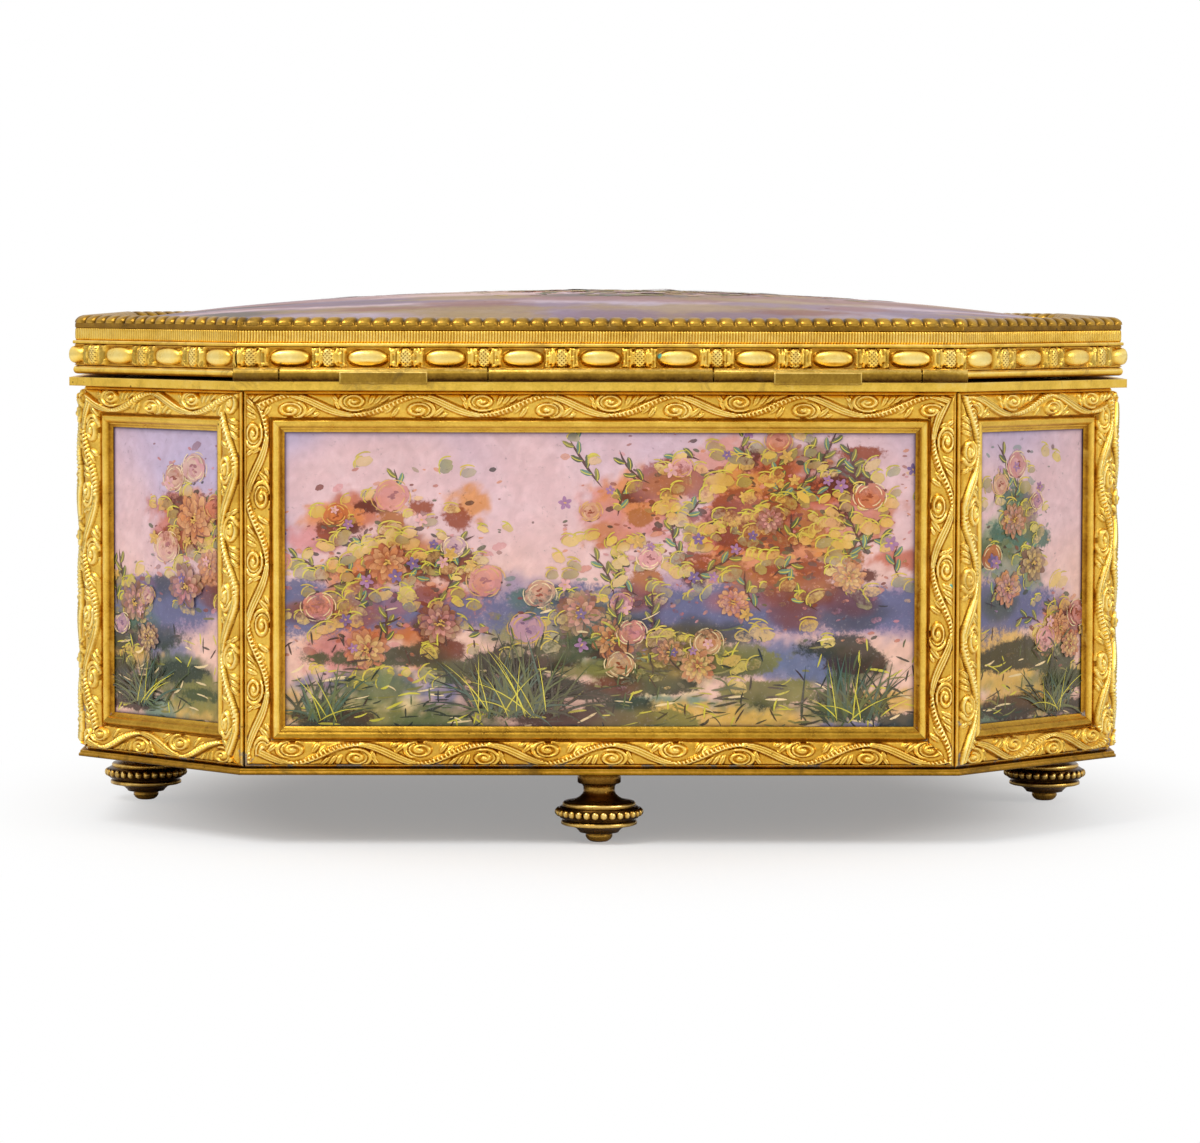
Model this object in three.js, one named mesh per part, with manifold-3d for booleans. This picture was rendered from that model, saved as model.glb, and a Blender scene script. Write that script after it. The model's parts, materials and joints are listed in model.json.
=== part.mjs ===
// An eight-sided jewellery casket: enamel plaques in mitred gilt brass frames, a domed lid on a
// pin hinge, four turned feet, a padded lining and a sliding lock bolt.
// Millimetres, +Z up. The origin is on the ground under the middle of the box.
// The hinge is on the -Y side, the lock on the +Y side, and the length runs along X.
import * as THREE from 'three';
import { mergeVertices } from 'three/addons/utils/BufferGeometryUtils.js';
import Module from 'manifold-3d';

// Plan, measured round the flange at the top of the body
const boxLength = 250;
const boxDepth = 192;
const cornerCut = 42; // leg of each cut-off corner

// Body heights and insets from the edge of the flange
const footHeight = 16.5;
const baseThickness = 1.4;
const baseStep = 0.35; // ledge halfway up the edge of the base plate
const baseInset = 1.7;
const panelHeight = 86.5;
const panelInset = 3.5;
const flangeThickness = 2.0;
const flangeWidth = 12.5;

// Cross-section of a panel frame
const frameWidth = 9.6;
const frameThickness = 2.8;
const frameRail = 0.8; // flat strip along the outer edge
const frameCrown = 1.25; // how far the ornament stands out of the frame
const ornamentWidth = 5.4;
const bevelStart = 6.9;
const bevelDrop = 0.45;
const lipThickness = 0.35;
const mitreGap = 0.3;

// Plaques, loose parts and lining
const plaqueThickness = 1.4;
const plaqueLap = 1.2; // how far a plaque reaches under its frame
const plaqueCrown = 0.4;
const fitGap = 0.3; // clearance between pieces that are slipped together
const boardThickness = 3.0;
const padHeight = 6.5;
const padCrown = 2.2;

// Feet
const footInset = 12.8;
const footBeadCount = 30;
const footBeadRing = 9.35; // radius to the middle of the beads
const footBeadSize = 1.05;
const footBeadLevel = 7.0;
const studRadius = 2.0;
const studHoleRadius = 2.3;
const nutRadius = 4.3;
const nutHeight = 2.2;
const studTail = 0.4; // stud left above the nut

// Lid heights, from the bottom up, and insets from the edge of the flange
const lidGap = 0.8;
const mouldingHeight = 2.0;
const mouldingInset = 0.9;
const galleryHeight = 5.1;
const galleryInset = 1.6;
const filletHeight = 0.8;
const filletInset = 0.8;
const reedHeight = 3.0;
const reedInset = 1.6;
const reedHollow = 0.25; // depth of the hollow that holds the reeding
const bandHeight = 1.7;
const bandInset = 1.4;
const borderHeight = 1.3;
const skinThickness = 1.7; // of the mouldings round the lid
const lidWall = 2.0;
const lidLedge = 3.6;
const lidLedgeThickness = 1.4;
const lidRingThickness = 1.6;
const rimWidth = 2.8;
const rimLip = 1.0;
const domeRise = 7.5;
const lidBoardThickness = 2.0;

// Egg and reel ornament of the gallery
const eggPitch = 17.6;
const eggLength = 9.2;
const eggHeight = 3.7;
const eggRelief = 1.5;
const beadRadius = 1.45;
const reelSpacing = 2.2; // from the middle of a bead to the disc beside it
const reelHeight = 4.1;
const reelRelief = 1.15;
const reelThickness = 0.9;

// Hinge
const barrelRadius = 1.6;
const boreRadius = 0.95;
const pinRadius = 0.8;
const barrelOverhang = 0.6; // axis beyond the edge of the flange
const middleKnuckle = 50.8;
const endKnuckle = 10.3;
const knuckleGap = 0.3;
const bodyLeafThickness = 0.5;
const bodyLeafWidth = 7.0;
const lidLeafThickness = 1.0;
const armThickness = 1.0;
const stopLength = 20;
const stopProud = 0.9;
const stopAbove = 0.8; // above the axis
const stopBelow = 2.1; // below the axis
const stopSolder = 0.05; // film of solder between a stop and the knuckles

// Lock
const lockWidth = 36;
const lockHeight = 12;
const lockWall = 0.9;
const stapleSpacing = 18;
const stapleThickness = 1.4;
const stapleWidth = 3.4;
const stapleDepth = 4.6; // below the underside of the flange
const stapleEye = 2.2;
const stapleFoot = 0.7; // metal below the eye
const staplePlay = 0.4;
const linkThickness = 0.5;
const linkWidth = 34;
const boltTravel = 4;
const boltThickness = 1.3;
const boltRunning = 0.35; // clearance round the bolt
const boltPost = 1.6;
const keyholeRadius = 1.3;
const keyholeSlot = 1.1;
const keyholeDrop = 3.4;
const escutcheonRadius = 3.4;
const escutcheonLift = 0.4; // above the crown of the frame

// Levels that follow from the sizes above
const baseTop = footHeight + baseThickness;
const flangeBottom = baseTop + panelHeight;
const flangeTop = flangeBottom + flangeThickness;
const lidBottom = flangeTop + lidGap;
const galleryBottom = lidBottom + mouldingHeight;
const filletBottom = galleryBottom + galleryHeight;
const reedBottom = filletBottom + filletHeight;
const bandBottom = reedBottom + reedHeight;
const borderBottom = bandBottom + bandHeight;
const halfLength = boxLength / 2;
const halfDepth = boxDepth / 2;
const boardTop = baseTop + boardThickness;
const linerInset = panelInset + frameThickness + fitGap;
const wallInset = Math.max(galleryInset, reedInset, filletInset) + skinThickness + fitGap;
const ledgeTop = bandBottom - fitGap;
const domeEdge = bandInset + rimWidth + fitGap;
const hingeY = -(halfDepth + barrelOverhang);
const hingeZ = flangeTop + barrelRadius;
const hingeHalf = halfLength - cornerCut + fitGap;
const lockBack = flangeWidth; // the lock's inner face is level with the lining
const mitre = Math.tan(Math.PI / 8);

const manifold = await Module();
manifold.setup();

// Colours and finishes
const finishes = {
  gilt: { color: '#d6a545', metalness: 1, roughness: 0.34 },
  worn: { color: '#a98b45', metalness: 1, roughness: 0.42 },
  bronze: { color: '#96733a', metalness: 1, roughness: 0.45 },
  steel: { color: '#8d8b86', metalness: 1, roughness: 0.4 },
  enamel: { color: '#c3a3ad', metalness: 0, roughness: 0.16 },
  velvet: { color: '#8c4a5a', metalness: 0, roughness: 0.95 },
  board: { color: '#a9825a', metalness: 0, roughness: 0.85 },
};

// Corners of the octagon that lies the given distance inside the edge of the flange,
// anticlockwise from the left end of the hinge side
function octagon(inset) {
  const x = halfLength - inset;
  const y = halfDepth - inset;
  const cut = cornerCut - inset * (2 - Math.SQRT2);
  return [
    [cut - x, -y], [x - cut, -y], [x, cut - y], [x, y - cut],
    [x - cut, y], [cut - x, y], [-x, y - cut], [-x, cut - y],
  ];
}

// The eight sides of that octagon: middle, length and turn about Z from the hinge side
function sides(inset) {
  const corners = octagon(inset);
  return corners.map(([x, y], index) => {
    const [nextX, nextY] = corners[(index + 1) % corners.length];
    return {
      x: (x + nextX) / 2,
      y: (y + nextY) / 2,
      length: Math.hypot(nextX - x, nextY - y),
      turn: index * Math.PI / 4,
    };
  });
}

// Joins rings of points, [x, y, z] each, into one closed surface with its faces pointing out.
// A looped surface runs from the last ring back to the first, any other is capped at both ends.
function skin(rings, looped) {
  const around = rings[0].length;
  const points = rings.flat();
  const faces = [];
  const bands = looped ? rings.length : rings.length - 1;
  for (let band = 0; band < bands; band++) {
    const near = band * around;
    const far = ((band + 1) % rings.length) * around;
    for (let step = 0; step < around; step++) {
      const next = (step + 1) % around;
      faces.push([near + step, near + next, far + next], [near + step, far + next, far + step]);
    }
  }
  if (!looped) {
    const last = (rings.length - 1) * around;
    for (let step = 1; step < around - 1; step++) {
      faces.push([0, step + 1, step], [last, last + step, last + step + 1]);
    }
  }
  const volume = faces.reduce((sum, [a, b, c]) => {
    const corner = new THREE.Vector3(...points[a]);
    return sum + corner.dot(new THREE.Vector3(...points[b]).cross(new THREE.Vector3(...points[c])));
  }, 0);
  const outward = volume > 0 ? faces : faces.map(([a, b, c]) => [a, c, b]);
  const geometry = new THREE.BufferGeometry();
  geometry.setAttribute('position', new THREE.Float32BufferAttribute(points.flat(), 3));
  geometry.setIndex(outward.flat());
  geometry.computeVertexNormals();
  return geometry;
}

// A moulding that runs round the box: profile points are [inset, height]
function ringMoulding(profile) {
  return skin(profile.map(([inset, z]) => octagon(inset).map(([x, y]) => [x, y, z])), true);
}

// A solid plate with a shaped edge, from the first profile point to the last
function plate(profile) {
  return skin(profile.map(([inset, z]) => octagon(inset).map(([x, y]) => [x, y, z])), false);
}

// Points spaced along the sides of a polygon
function divided(corners, perSide) {
  return corners.flatMap(([x, y], index) => {
    const [nextX, nextY] = corners[(index + 1) % corners.length];
    return Array.from({ length: perSide }, (_, step) => {
      const share = step / perSide;
      return [x + (nextX - x) * share, y + (nextY - y) * share];
    });
  });
}

// Height of a pillow that falls to nothing along a rectangle of the given half sizes
function pillow(x, y, halfX, halfY) {
  return (1 - (x / halfX) ** 2) * (1 - (y / halfY) ** 2);
}

// Booleans
function solid(geometry) {
  const bare = geometry.clone();
  bare.deleteAttribute('normal');
  bare.deleteAttribute('uv');
  const merged = mergeVertices(bare);
  return new manifold.Manifold(new manifold.Mesh({
    numProp: 3,
    vertProperties: new Float32Array(merged.attributes.position.array),
    triVerts: new Uint32Array(merged.index.array),
  }));
}

function fromSolid(shape) {
  const mesh = shape.getMesh();
  const geometry = new THREE.BufferGeometry();
  geometry.setAttribute('position', new THREE.BufferAttribute(mesh.vertProperties, 3));
  geometry.setIndex(new THREE.BufferAttribute(mesh.triVerts, 1));
  geometry.computeVertexNormals();
  return geometry;
}

function join(...geometries) {
  return fromSolid(geometries.map(solid).reduce((sum, next) => sum.add(next)));
}

function cut(body, ...tools) {
  return fromSolid(tools.map(solid).reduce((rest, tool) => rest.subtract(tool), solid(body)));
}

// A box between two corners
function block([x0, y0, z0], [x1, y1, z1]) {
  return new THREE.BoxGeometry(x1 - x0, y1 - y0, z1 - z0)
    .translate((x0 + x1) / 2, (y0 + y1) / 2, (z0 + z1) / 2);
}

// Round bars along X, Y and Z, with a vertex on the vertical or on the Y direction
function barX(radius, x0, x1, sidesRound) {
  return new THREE.CylinderGeometry(radius, radius, x1 - x0, sidesRound)
    .rotateZ(Math.PI / 2)
    .translate((x0 + x1) / 2, 0, 0);
}

function barY(radius, y0, y1, sidesRound) {
  return new THREE.CylinderGeometry(radius, radius, y1 - y0, sidesRound)
    .translate(0, (y0 + y1) / 2, 0);
}

function barZ(radius, z0, z1, sidesRound) {
  return new THREE.CylinderGeometry(radius, radius, z1 - z0, sidesRound)
    .rotateX(Math.PI / 2)
    .translate(0, 0, (z0 + z1) / 2);
}

function ball(halfX, halfY, halfZ, around, down) {
  return new THREE.SphereGeometry(1, around, down).rotateZ(Math.PI / 2).scale(halfX, halfY, halfZ);
}

const casket = new THREE.Group();

function add(name, geometry, finish, place = {}) {
  const mesh = new THREE.Mesh(geometry, new THREE.MeshStandardMaterial(finishes[finish]));
  mesh.name = name;
  mesh.position.set(place.x ?? 0, place.y ?? 0, place.z ?? 0);
  mesh.rotation.z = place.turn ?? 0;
  casket.add(mesh);
}

const sideNames = [
  'back', 'back_right', 'right', 'front_right', 'front', 'front_left', 'left', 'back_left',
];
const footPlaces = [
  ['back', 0, footInset - halfDepth],
  ['right', halfLength - footInset, 0],
  ['front', 0, halfDepth - footInset],
  ['left', footInset - halfLength, 0],
];

// Panel frames, in their own place: X along the panel, -Y outwards, Z up from the base plate.
// Profile points are [distance from the outer edge, distance out of the face].
function frameProfile() {
  const crown = [];
  for (let step = 0; step <= 6; step++) {
    const angle = Math.PI * step / 6;
    crown.push([
      frameRail + ornamentWidth * (1 - Math.cos(angle)) / 2,
      frameCrown * Math.sin(angle),
    ]);
  }
  const back = -frameThickness;
  const lip = -bevelDrop - lipThickness;
  const rebate = frameWidth - plaqueLap - fitGap;
  return [
    [0, back], [0, 0], ...crown, [bevelStart, 0], [frameWidth, -bevelDrop],
    [frameWidth, lip], [rebate, lip], [rebate, back],
  ];
}

function panelFrame(length) {
  const rings = frameProfile().map(([inside, out]) => {
    const slope = inside === 0 ? out * mitre - mitreGap / 2 / Math.cos(Math.PI / 8) : 0;
    const half = length / 2 - inside + slope;
    const y = -out;
    return [
      [-half, y, inside], [half, y, inside],
      [half, y, panelHeight - inside], [-half, y, panelHeight - inside],
    ];
  });
  return skin(rings, true);
}

// An enamelled plate, slightly crowned towards the outside
function sidePlaque(length) {
  const halfX = length / 2 - frameWidth + plaqueLap;
  const halfZ = panelHeight / 2 - frameWidth + plaqueLap;
  const front = bevelDrop + lipThickness + fitGap;
  const corners = [[-halfX, -halfZ], [halfX, -halfZ], [halfX, halfZ], [-halfX, halfZ]];
  const face = (share, depth) => divided(corners, 4).map(([x, z]) => {
    const rise = plaqueCrown * pillow(x * share, z * share, halfX, halfZ);
    return [x * share, depth - rise, z * share + panelHeight / 2];
  });
  const back = front + plaqueThickness;
  return skin([face(0.5, back), face(1, back), face(1, front), face(0.5, front)], false);
}

const keyholeLevel = flangeBottom - frameRail - ornamentWidth / 2;

function keyhole(y0, y1) {
  const round = barY(keyholeRadius, y0, y1, 12).translate(0, 0, keyholeLevel);
  const slot = block(
    [-keyholeSlot / 2, y0, keyholeLevel - keyholeDrop],
    [keyholeSlot / 2, y1, keyholeLevel],
  );
  return join(round, slot);
}

function addPanels() {
  const faceY = halfDepth - panelInset;
  const seat = barY(escutcheonRadius + fitGap, -frameThickness * 2, frameThickness * 2, 20)
    .translate(0, 0, keyholeLevel - baseTop);
  sides(panelInset).forEach(({ x, y, length, turn }, index) => {
    const frame = panelFrame(length);
    const place = { x, y, z: baseTop, turn };
    add(`frame_${sideNames[index]}`, index === 4 ? cut(frame, seat) : frame, 'gilt', place);
    add(`plaque_${sideNames[index]}`, sidePlaque(length), 'enamel', place);
  });
  const lift = frameCrown + escutcheonLift;
  const boss = barY(escutcheonRadius, faceY - frameThickness, faceY + lift, 20)
    .translate(0, 0, keyholeLevel);
  add('key_escutcheon', cut(boss, keyhole(faceY - frameThickness - 1, faceY + lift + 1)), 'worn');
}

// Base plate with a ledge round its edge and a hole for each foot
function addBase() {
  const middle = (footHeight + baseTop) / 2;
  const sheet = plate([
    [baseInset, footHeight], [baseInset, middle],
    [baseInset + baseStep, middle], [baseInset + baseStep, baseTop],
  ]);
  const holes = footPlaces.map(([, x, y]) => (
    barZ(studHoleRadius, footHeight - 1, baseTop + 1, 16).translate(x, y, 0)
  ));
  add('base_plate', cut(sheet, ...holes), 'worn');
}

// Turned foot: points are [radius, height], from its flat end up; the stud goes through the base plate
function addFeet() {
  const neckTop = footHeight - fitGap;
  const nutTop = baseTop + nutHeight;
  const profile = [
    [0, 0], [2.2, 0], [3.15, 0.9], [3.15, 1.9], [4.6, 2.2], [6.5, 3.9],
    [8.6, 4.3], [footBeadRing, 5.4], [footBeadRing, 8.4], [8.3, 9.3], [6.0, 9.9], [4.4, 11.0],
    [3.6, 12.4], [5.0, 13.6], [5.0, neckTop],
    [studRadius, neckTop], [studRadius, nutTop + studTail], [0, nutTop + studTail],
  ].map(([radius, height]) => new THREE.Vector2(radius, height));
  const turned = solid(new THREE.LatheGeometry(profile, 16).rotateX(Math.PI / 2));
  const beads = Array.from({ length: footBeadCount }, (_, index) => {
    const angle = 2 * Math.PI * index / footBeadCount;
    const bead = new THREE.OctahedronGeometry(footBeadSize).rotateZ(angle);
    const [x, y] = [footBeadRing * Math.cos(angle), footBeadRing * Math.sin(angle)];
    return solid(bead.translate(x, y, footBeadLevel));
  });
  const foot = fromSolid(beads.reduce((sum, bead) => sum.add(bead), turned));
  const nutGap = fitGap / 2;
  const nut = cut(
    barZ(nutRadius, baseTop, nutTop, 6),
    barZ(studRadius + nutGap, baseTop - 1, nutTop + 1, 16),
  );
  footPlaces.forEach(([name, x, y]) => {
    add(`foot_${name}`, foot, 'bronze', { x, y });
    add(`foot_nut_${name}`, nut, 'steel', { x, y });
  });
}

// Places of the two staples that hang from the lid into the lock
const stapleY = halfDepth - (linerInset + lockBack) / 2;
const staplesX = [-stapleSpacing / 2, stapleSpacing / 2];

function addFlange() {
  const ring = ringMoulding([
    [0, flangeBottom], [0, flangeTop], [flangeWidth, flangeTop], [flangeWidth, flangeBottom],
  ]);
  const slots = staplesX.map((x) => block(
    [x - stapleThickness / 2 - staplePlay, stapleY - stapleWidth / 2 - staplePlay, flangeBottom - 1],
    [x + stapleThickness / 2 + staplePlay, stapleY + stapleWidth / 2 + staplePlay, flangeTop + 1],
  ));
  add('body_flange', cut(ring, ...slots), 'worn');
}

// A cushion: flat on one side, crowned on the other, its sides drawn in at both edges.
// Heights run from the flat side to the crowned one, and side is +1 for a crown on top.
function cushion(inset, flatZ, height, crown, side) {
  const corners = octagon(inset);
  const halfX = corners[2][0];
  const halfY = corners[4][1];
  const ring = (share, drawn, level) => divided(corners, 4).map(([x, y]) => {
    const reach = share * (1 - drawn / halfY);
    const rise = level === height ? crown * pillow(x * reach, y * reach, halfX, halfY) : 0;
    return [x * reach, y * reach, flatZ + side * (level + rise)];
  });
  const edge = [[1.4, 0], [0.35, 0.25], [0, 0.5], [0.35, 0.78]];
  const sideRings = edge.map(([drawn, level]) => ring(1, drawn, level * height));
  const topRings = [[1, 1.4], [0.86, 1.4], [0.64, 0], [0.4, 0], [0.16, 0]]
    .map(([share, drawn]) => ring(share, drawn, height));
  return skin([...sideRings, ...topRings], false);
}

function addLining() {
  const nutRoom = nutRadius + 2 * fitGap;
  const wells = footPlaces.map(([, x, y]) => (
    barZ(nutRoom, baseTop - 1, boardTop + 1, 16).translate(x, y, 0)
  ));
  const board = plate([[linerInset, baseTop], [linerInset, boardTop]]);
  add('liner_floor', cut(board, ...wells), 'board');

  const wall = ringMoulding([
    [linerInset, boardTop], [linerInset, flangeBottom],
    [flangeWidth, flangeBottom], [flangeWidth, boardTop],
  ]);
  const notch = block(
    [-lockWidth / 2 - fitGap, halfDepth - flangeWidth - 1, flangeBottom - lockHeight - fitGap],
    [lockWidth / 2 + fitGap, halfDepth - linerInset + 1, flangeBottom + 1],
  );
  add('liner_wall', cut(wall, notch), 'velvet');
  add('floor_pad', cushion(flangeWidth + fitGap, boardTop + fitGap, padHeight, padCrown, 1), 'velvet');
}

// Hinge: knuckles lie on the flange, and the pin runs through all of them
function knuckle(x0, x1) {
  return barX(barrelRadius, x0, x1, 24).translate(0, hingeY, hingeZ);
}

function addHinge() {
  const innerEnd = middleKnuckle / 2;
  const bodyStart = innerEnd + knuckleGap;
  const bodyEnd = hingeHalf - endKnuckle - knuckleGap;
  const endStart = hingeHalf - endKnuckle;
  const bore = barX(boreRadius, -hingeHalf - 1, hingeHalf + 1, 12).translate(0, hingeY, hingeZ);

  const leafFront = hingeY + barrelRadius + fitGap;
  const leafBack = hingeY + bodyLeafWidth;
  const leafTop = flangeTop + bodyLeafThickness;
  const bodyLeaf = block([-hingeHalf, leafFront, flangeTop], [hingeHalf, leafBack, leafTop]);
  const bodyTongues = [[bodyStart, bodyEnd], [-bodyEnd, -bodyStart]].flatMap(([x0, x1]) => [
    knuckle(x0, x1),
    block([x0, hingeY, flangeTop], [x1, leafFront + 1, leafTop]),
  ]);
  add('hinge_body_leaf', cut(join(bodyLeaf, ...bodyTongues), bore), 'worn');

  const lidLeafY = -(halfDepth - wallInset) - fitGap;
  const armBottom = hingeZ - armThickness / 2;
  const lidLeaf = block(
    [-hingeHalf, lidLeafY - lidLeafThickness, lidBottom + fitGap],
    [hingeHalf, lidLeafY, galleryBottom - fitGap],
  );
  const lidTongues = [[-innerEnd, innerEnd], [endStart, hingeHalf], [-hingeHalf, -endStart]]
    .flatMap(([x0, x1]) => [
      knuckle(x0, x1),
      block([x0, hingeY, armBottom], [x1, lidLeafY - lidLeafThickness / 2, armBottom + armThickness]),
    ]);
  add('hinge_lid_leaf', cut(join(lidLeaf, ...lidTongues), bore), 'worn');

  const pin = barX(pinRadius, -hingeHalf, hingeHalf, 12).translate(0, hingeY, hingeZ);
  add('hinge_pin', pin, 'worn');

  const stopMiddle = (bodyStart + bodyEnd) / 2;
  const stopFace = hingeY - barrelRadius;
  const stop = block(
    [-stopLength / 2, stopFace - stopProud, hingeZ - stopBelow],
    [stopLength / 2, stopFace - stopSolder, hingeZ + stopAbove],
  );
  add('hinge_stop_left', stop, 'worn', { x: -stopMiddle });
  add('hinge_stop_right', stop, 'worn', { x: stopMiddle });
}

// Lid frame and the mouldings that are fixed round it
function addLidFrame() {
  const ledgeBottom = ledgeTop - lidLedgeThickness;
  const inner = wallInset + lidWall;
  const shell = ringMoulding([
    [wallInset, lidBottom], [wallInset, ledgeTop], [inner + lidLedge, ledgeTop],
    [inner + lidLedge, ledgeBottom], [inner, ledgeBottom], [inner, lidBottom + lidRingThickness],
    [flangeWidth, lidBottom + lidRingThickness], [flangeWidth, lidBottom],
  ]);
  add('lid_frame', shell, 'worn');

  const boardZ = ledgeBottom - fitGap;
  const boardInset = inner + fitGap;
  add('lid_board', plate([[boardInset, boardZ - lidBoardThickness], [boardInset, boardZ]]), 'board');
  const padTop = boardZ - lidBoardThickness - fitGap;
  const padDeep = padTop - lidBottom - lidRingThickness - fitGap;
  add('lid_pad', cushion(boardInset, padTop, padDeep, lidRingThickness, -1), 'velvet');
}

// Half-round moulding along the bottom of the lid, left out along the hinge
function addLowerMoulding() {
  const round = [];
  const middle = lidBottom + mouldingHeight / 2;
  for (let step = 0; step <= 6; step++) {
    const angle = Math.PI * (step / 6 - 0.5);
    round.push([
      mouldingInset + mouldingHeight / 2 * (1 - Math.cos(angle)),
      middle + mouldingHeight / 2 * Math.sin(angle),
    ]);
  }
  const inner = wallInset - fitGap;
  const ring = ringMoulding([...round, [inner, galleryBottom], [inner, lidBottom]]);
  const hingeRoom = block(
    [-hingeHalf - fitGap, -halfDepth - 1, lidBottom - 1],
    [hingeHalf + fitGap, -halfDepth + wallInset + 1, galleryBottom + 1],
  );
  add('lid_lower_moulding', cut(ring, hingeRoom), 'worn');
}

// Band of eggs, reels and beads
function addGallery() {
  const back = wallInset - fitGap;
  const ground = ringMoulding([
    [galleryInset, galleryBottom], [galleryInset, filletBottom],
    [back, filletBottom], [back, galleryBottom],
  ]);
  const level = galleryBottom + galleryHeight / 2;
  const egg = ball(eggLength / 2, eggRelief, eggHeight / 2, 8, 5);
  const bead = ball(beadRadius, beadRadius, beadRadius, 6, 4);
  const reel = barX(1, -reelThickness / 2, reelThickness / 2, 6)
    .scale(1, reelRelief, reelHeight / 2);
  const ornaments = [];
  const put = (shape, { x, y, turn }, along) => {
    ornaments.push(solid(shape.clone().translate(along, 0, level).rotateZ(turn).translate(x, y, 0)));
  };
  sides(galleryInset).forEach((side) => {
    const count = Math.floor((side.length - 2 * beadRadius) / eggPitch);
    for (let index = 0; index < count; index++) {
      const along = (index - (count - 1) / 2) * eggPitch;
      put(egg, side, along);
      if (index > 0) {
        const between = along - eggPitch / 2;
        put(bead, side, between);
        put(reel, side, between - reelSpacing);
        put(reel, side, between + reelSpacing);
      }
    }
  });
  const gallery = ornaments.reduce((sum, next) => sum.add(next), solid(ground));
  add('lid_egg_gallery', fromSolid(gallery), 'gilt');
}

// Square fillet, hollow band for the reeding and the rim that holds the domed plaque
function addUpperMouldings() {
  const back = wallInset - fitGap;
  add('lid_fillet', ringMoulding([
    [filletInset, filletBottom], [filletInset, reedBottom], [back, reedBottom], [back, filletBottom],
  ]), 'worn');
  add('lid_reeded_band', ringMoulding([
    [reedInset, reedBottom], [reedInset + reedHollow, (reedBottom + bandBottom) / 2],
    [reedInset, bandBottom], [back, bandBottom], [back, reedBottom],
  ]), 'gilt');

  const inner = bandInset + rimWidth;
  const top = borderBottom + borderHeight;
  // From the outer edge of the border, over its crest, to the lip on the plaque
  const border = [
    [bandInset, borderBottom], [bandInset + 0.5, borderBottom + 0.15],
    [bandInset + 0.9, borderBottom + borderHeight * 0.75], [bandInset + 1.9, top],
    [inner + rimLip * 0.3, top - 0.15], [inner + rimLip, borderBottom + borderHeight * 0.45],
    [inner + rimLip, borderBottom],
  ];
  add('lid_top_rim', ringMoulding([
    [bandInset, bandBottom], ...border, [inner, borderBottom], [inner, bandBottom],
  ]), 'gilt');
}

// Domed plaque, its edge turned flat and held between the rim and the ledge of the lid frame
function addDome() {
  const corners = octagon(domeEdge);
  const halfX = corners[2][0];
  const halfY = corners[4][1];
  const top = borderBottom - fitGap;
  const bottom = ledgeTop + fitGap;
  const face = (share, level) => divided(corners, 4).map(([x, y]) => {
    const rise = domeRise * (1 - share ** 12) * pillow(x * share, y * share, halfX, halfY);
    return [x * share, y * share, level + rise];
  });
  const shares = [0.15, 0.4, 0.65, 0.85, 1];
  const under = shares.map((share) => face(share, bottom));
  const over = shares.map((share) => face(share, top)).reverse();
  add('lid_plaque', skin([...under, ...over], false), 'enamel');
}

// Lock: a case let into the lining, a bolt that slides in it, and the link plate on the lid
function addLock() {
  const outerY = halfDepth - linerInset;
  const innerY = halfDepth - lockBack;
  const bottom = flangeBottom - lockHeight;
  const roomBottom = bottom + lockWall;
  const eyeMiddle = flangeBottom - stapleDepth + stapleFoot + stapleEye / 2;
  const body = block([-lockWidth / 2, innerY, bottom], [lockWidth / 2, outerY, flangeBottom]);
  const room = block(
    [-lockWidth / 2 + lockWall, innerY + lockWall, roomBottom],
    [lockWidth / 2 - lockWall, outerY - lockWall, flangeBottom + 1],
  );
  const key = keyhole(outerY - lockWall - 0.5, outerY + 1);
  add('lock_case', cut(body, room, key), 'steel');

  const tongueHalf = boltThickness / 2;
  const barTop = flangeBottom - stapleDepth - boltRunning;
  const tipBack = stapleThickness / 2 + boltRunning;
  const heel = -stapleSpacing / 2 - tipBack - boltTravel - boltPost;
  const bar = block(
    [heel, stapleY - tongueHalf, roomBottom + boltRunning],
    [stapleSpacing / 2, stapleY + tongueHalf, barTop],
  );
  const hooks = staplesX.flatMap((x) => {
    const tip = x - tipBack;
    const postFront = tip - boltTravel;
    return [
      block([postFront - boltPost, stapleY - tongueHalf, barTop - boltPost / 2],
        [postFront, stapleY + tongueHalf, eyeMiddle + tongueHalf]),
      block([postFront - boltPost, stapleY - tongueHalf, eyeMiddle - tongueHalf],
        [tip, stapleY + tongueHalf, eyeMiddle + tongueHalf]),
    ];
  });
  add('lock_bolt', join(bar, ...hooks), 'steel');

  const link = block(
    [-linkWidth / 2, stapleY - stapleWidth / 2, lidBottom - linkThickness],
    [linkWidth / 2, stapleY + stapleWidth / 2, lidBottom],
  );
  const staples = staplesX.map((x) => block(
    [x - stapleThickness / 2, stapleY - stapleWidth / 2, flangeBottom - stapleDepth],
    [x + stapleThickness / 2, stapleY + stapleWidth / 2, lidBottom - linkThickness / 2],
  ));
  const eyes = staplesX.map((x) => block(
    [x - stapleThickness, stapleY - stapleEye / 2, eyeMiddle - stapleEye / 2],
    [x + stapleThickness, stapleY + stapleEye / 2, eyeMiddle + stapleEye / 2],
  ));
  add('lock_link_plate', cut(join(link, ...staples), ...eyes), 'steel');
}

addBase();
addFeet();
addPanels();
addFlange();
addLining();
addHinge();
addLidFrame();
addLowerMoulding();
addGallery();
addUpperMouldings();
addDome();
addLock();

export default casket;
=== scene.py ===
# Enamel casket: relief frames, painted plaques, moulded lid and padded lining.
import json
import math
import bmesh
import bpy
import numpy as np
from mathutils import Matrix, Vector

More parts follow.
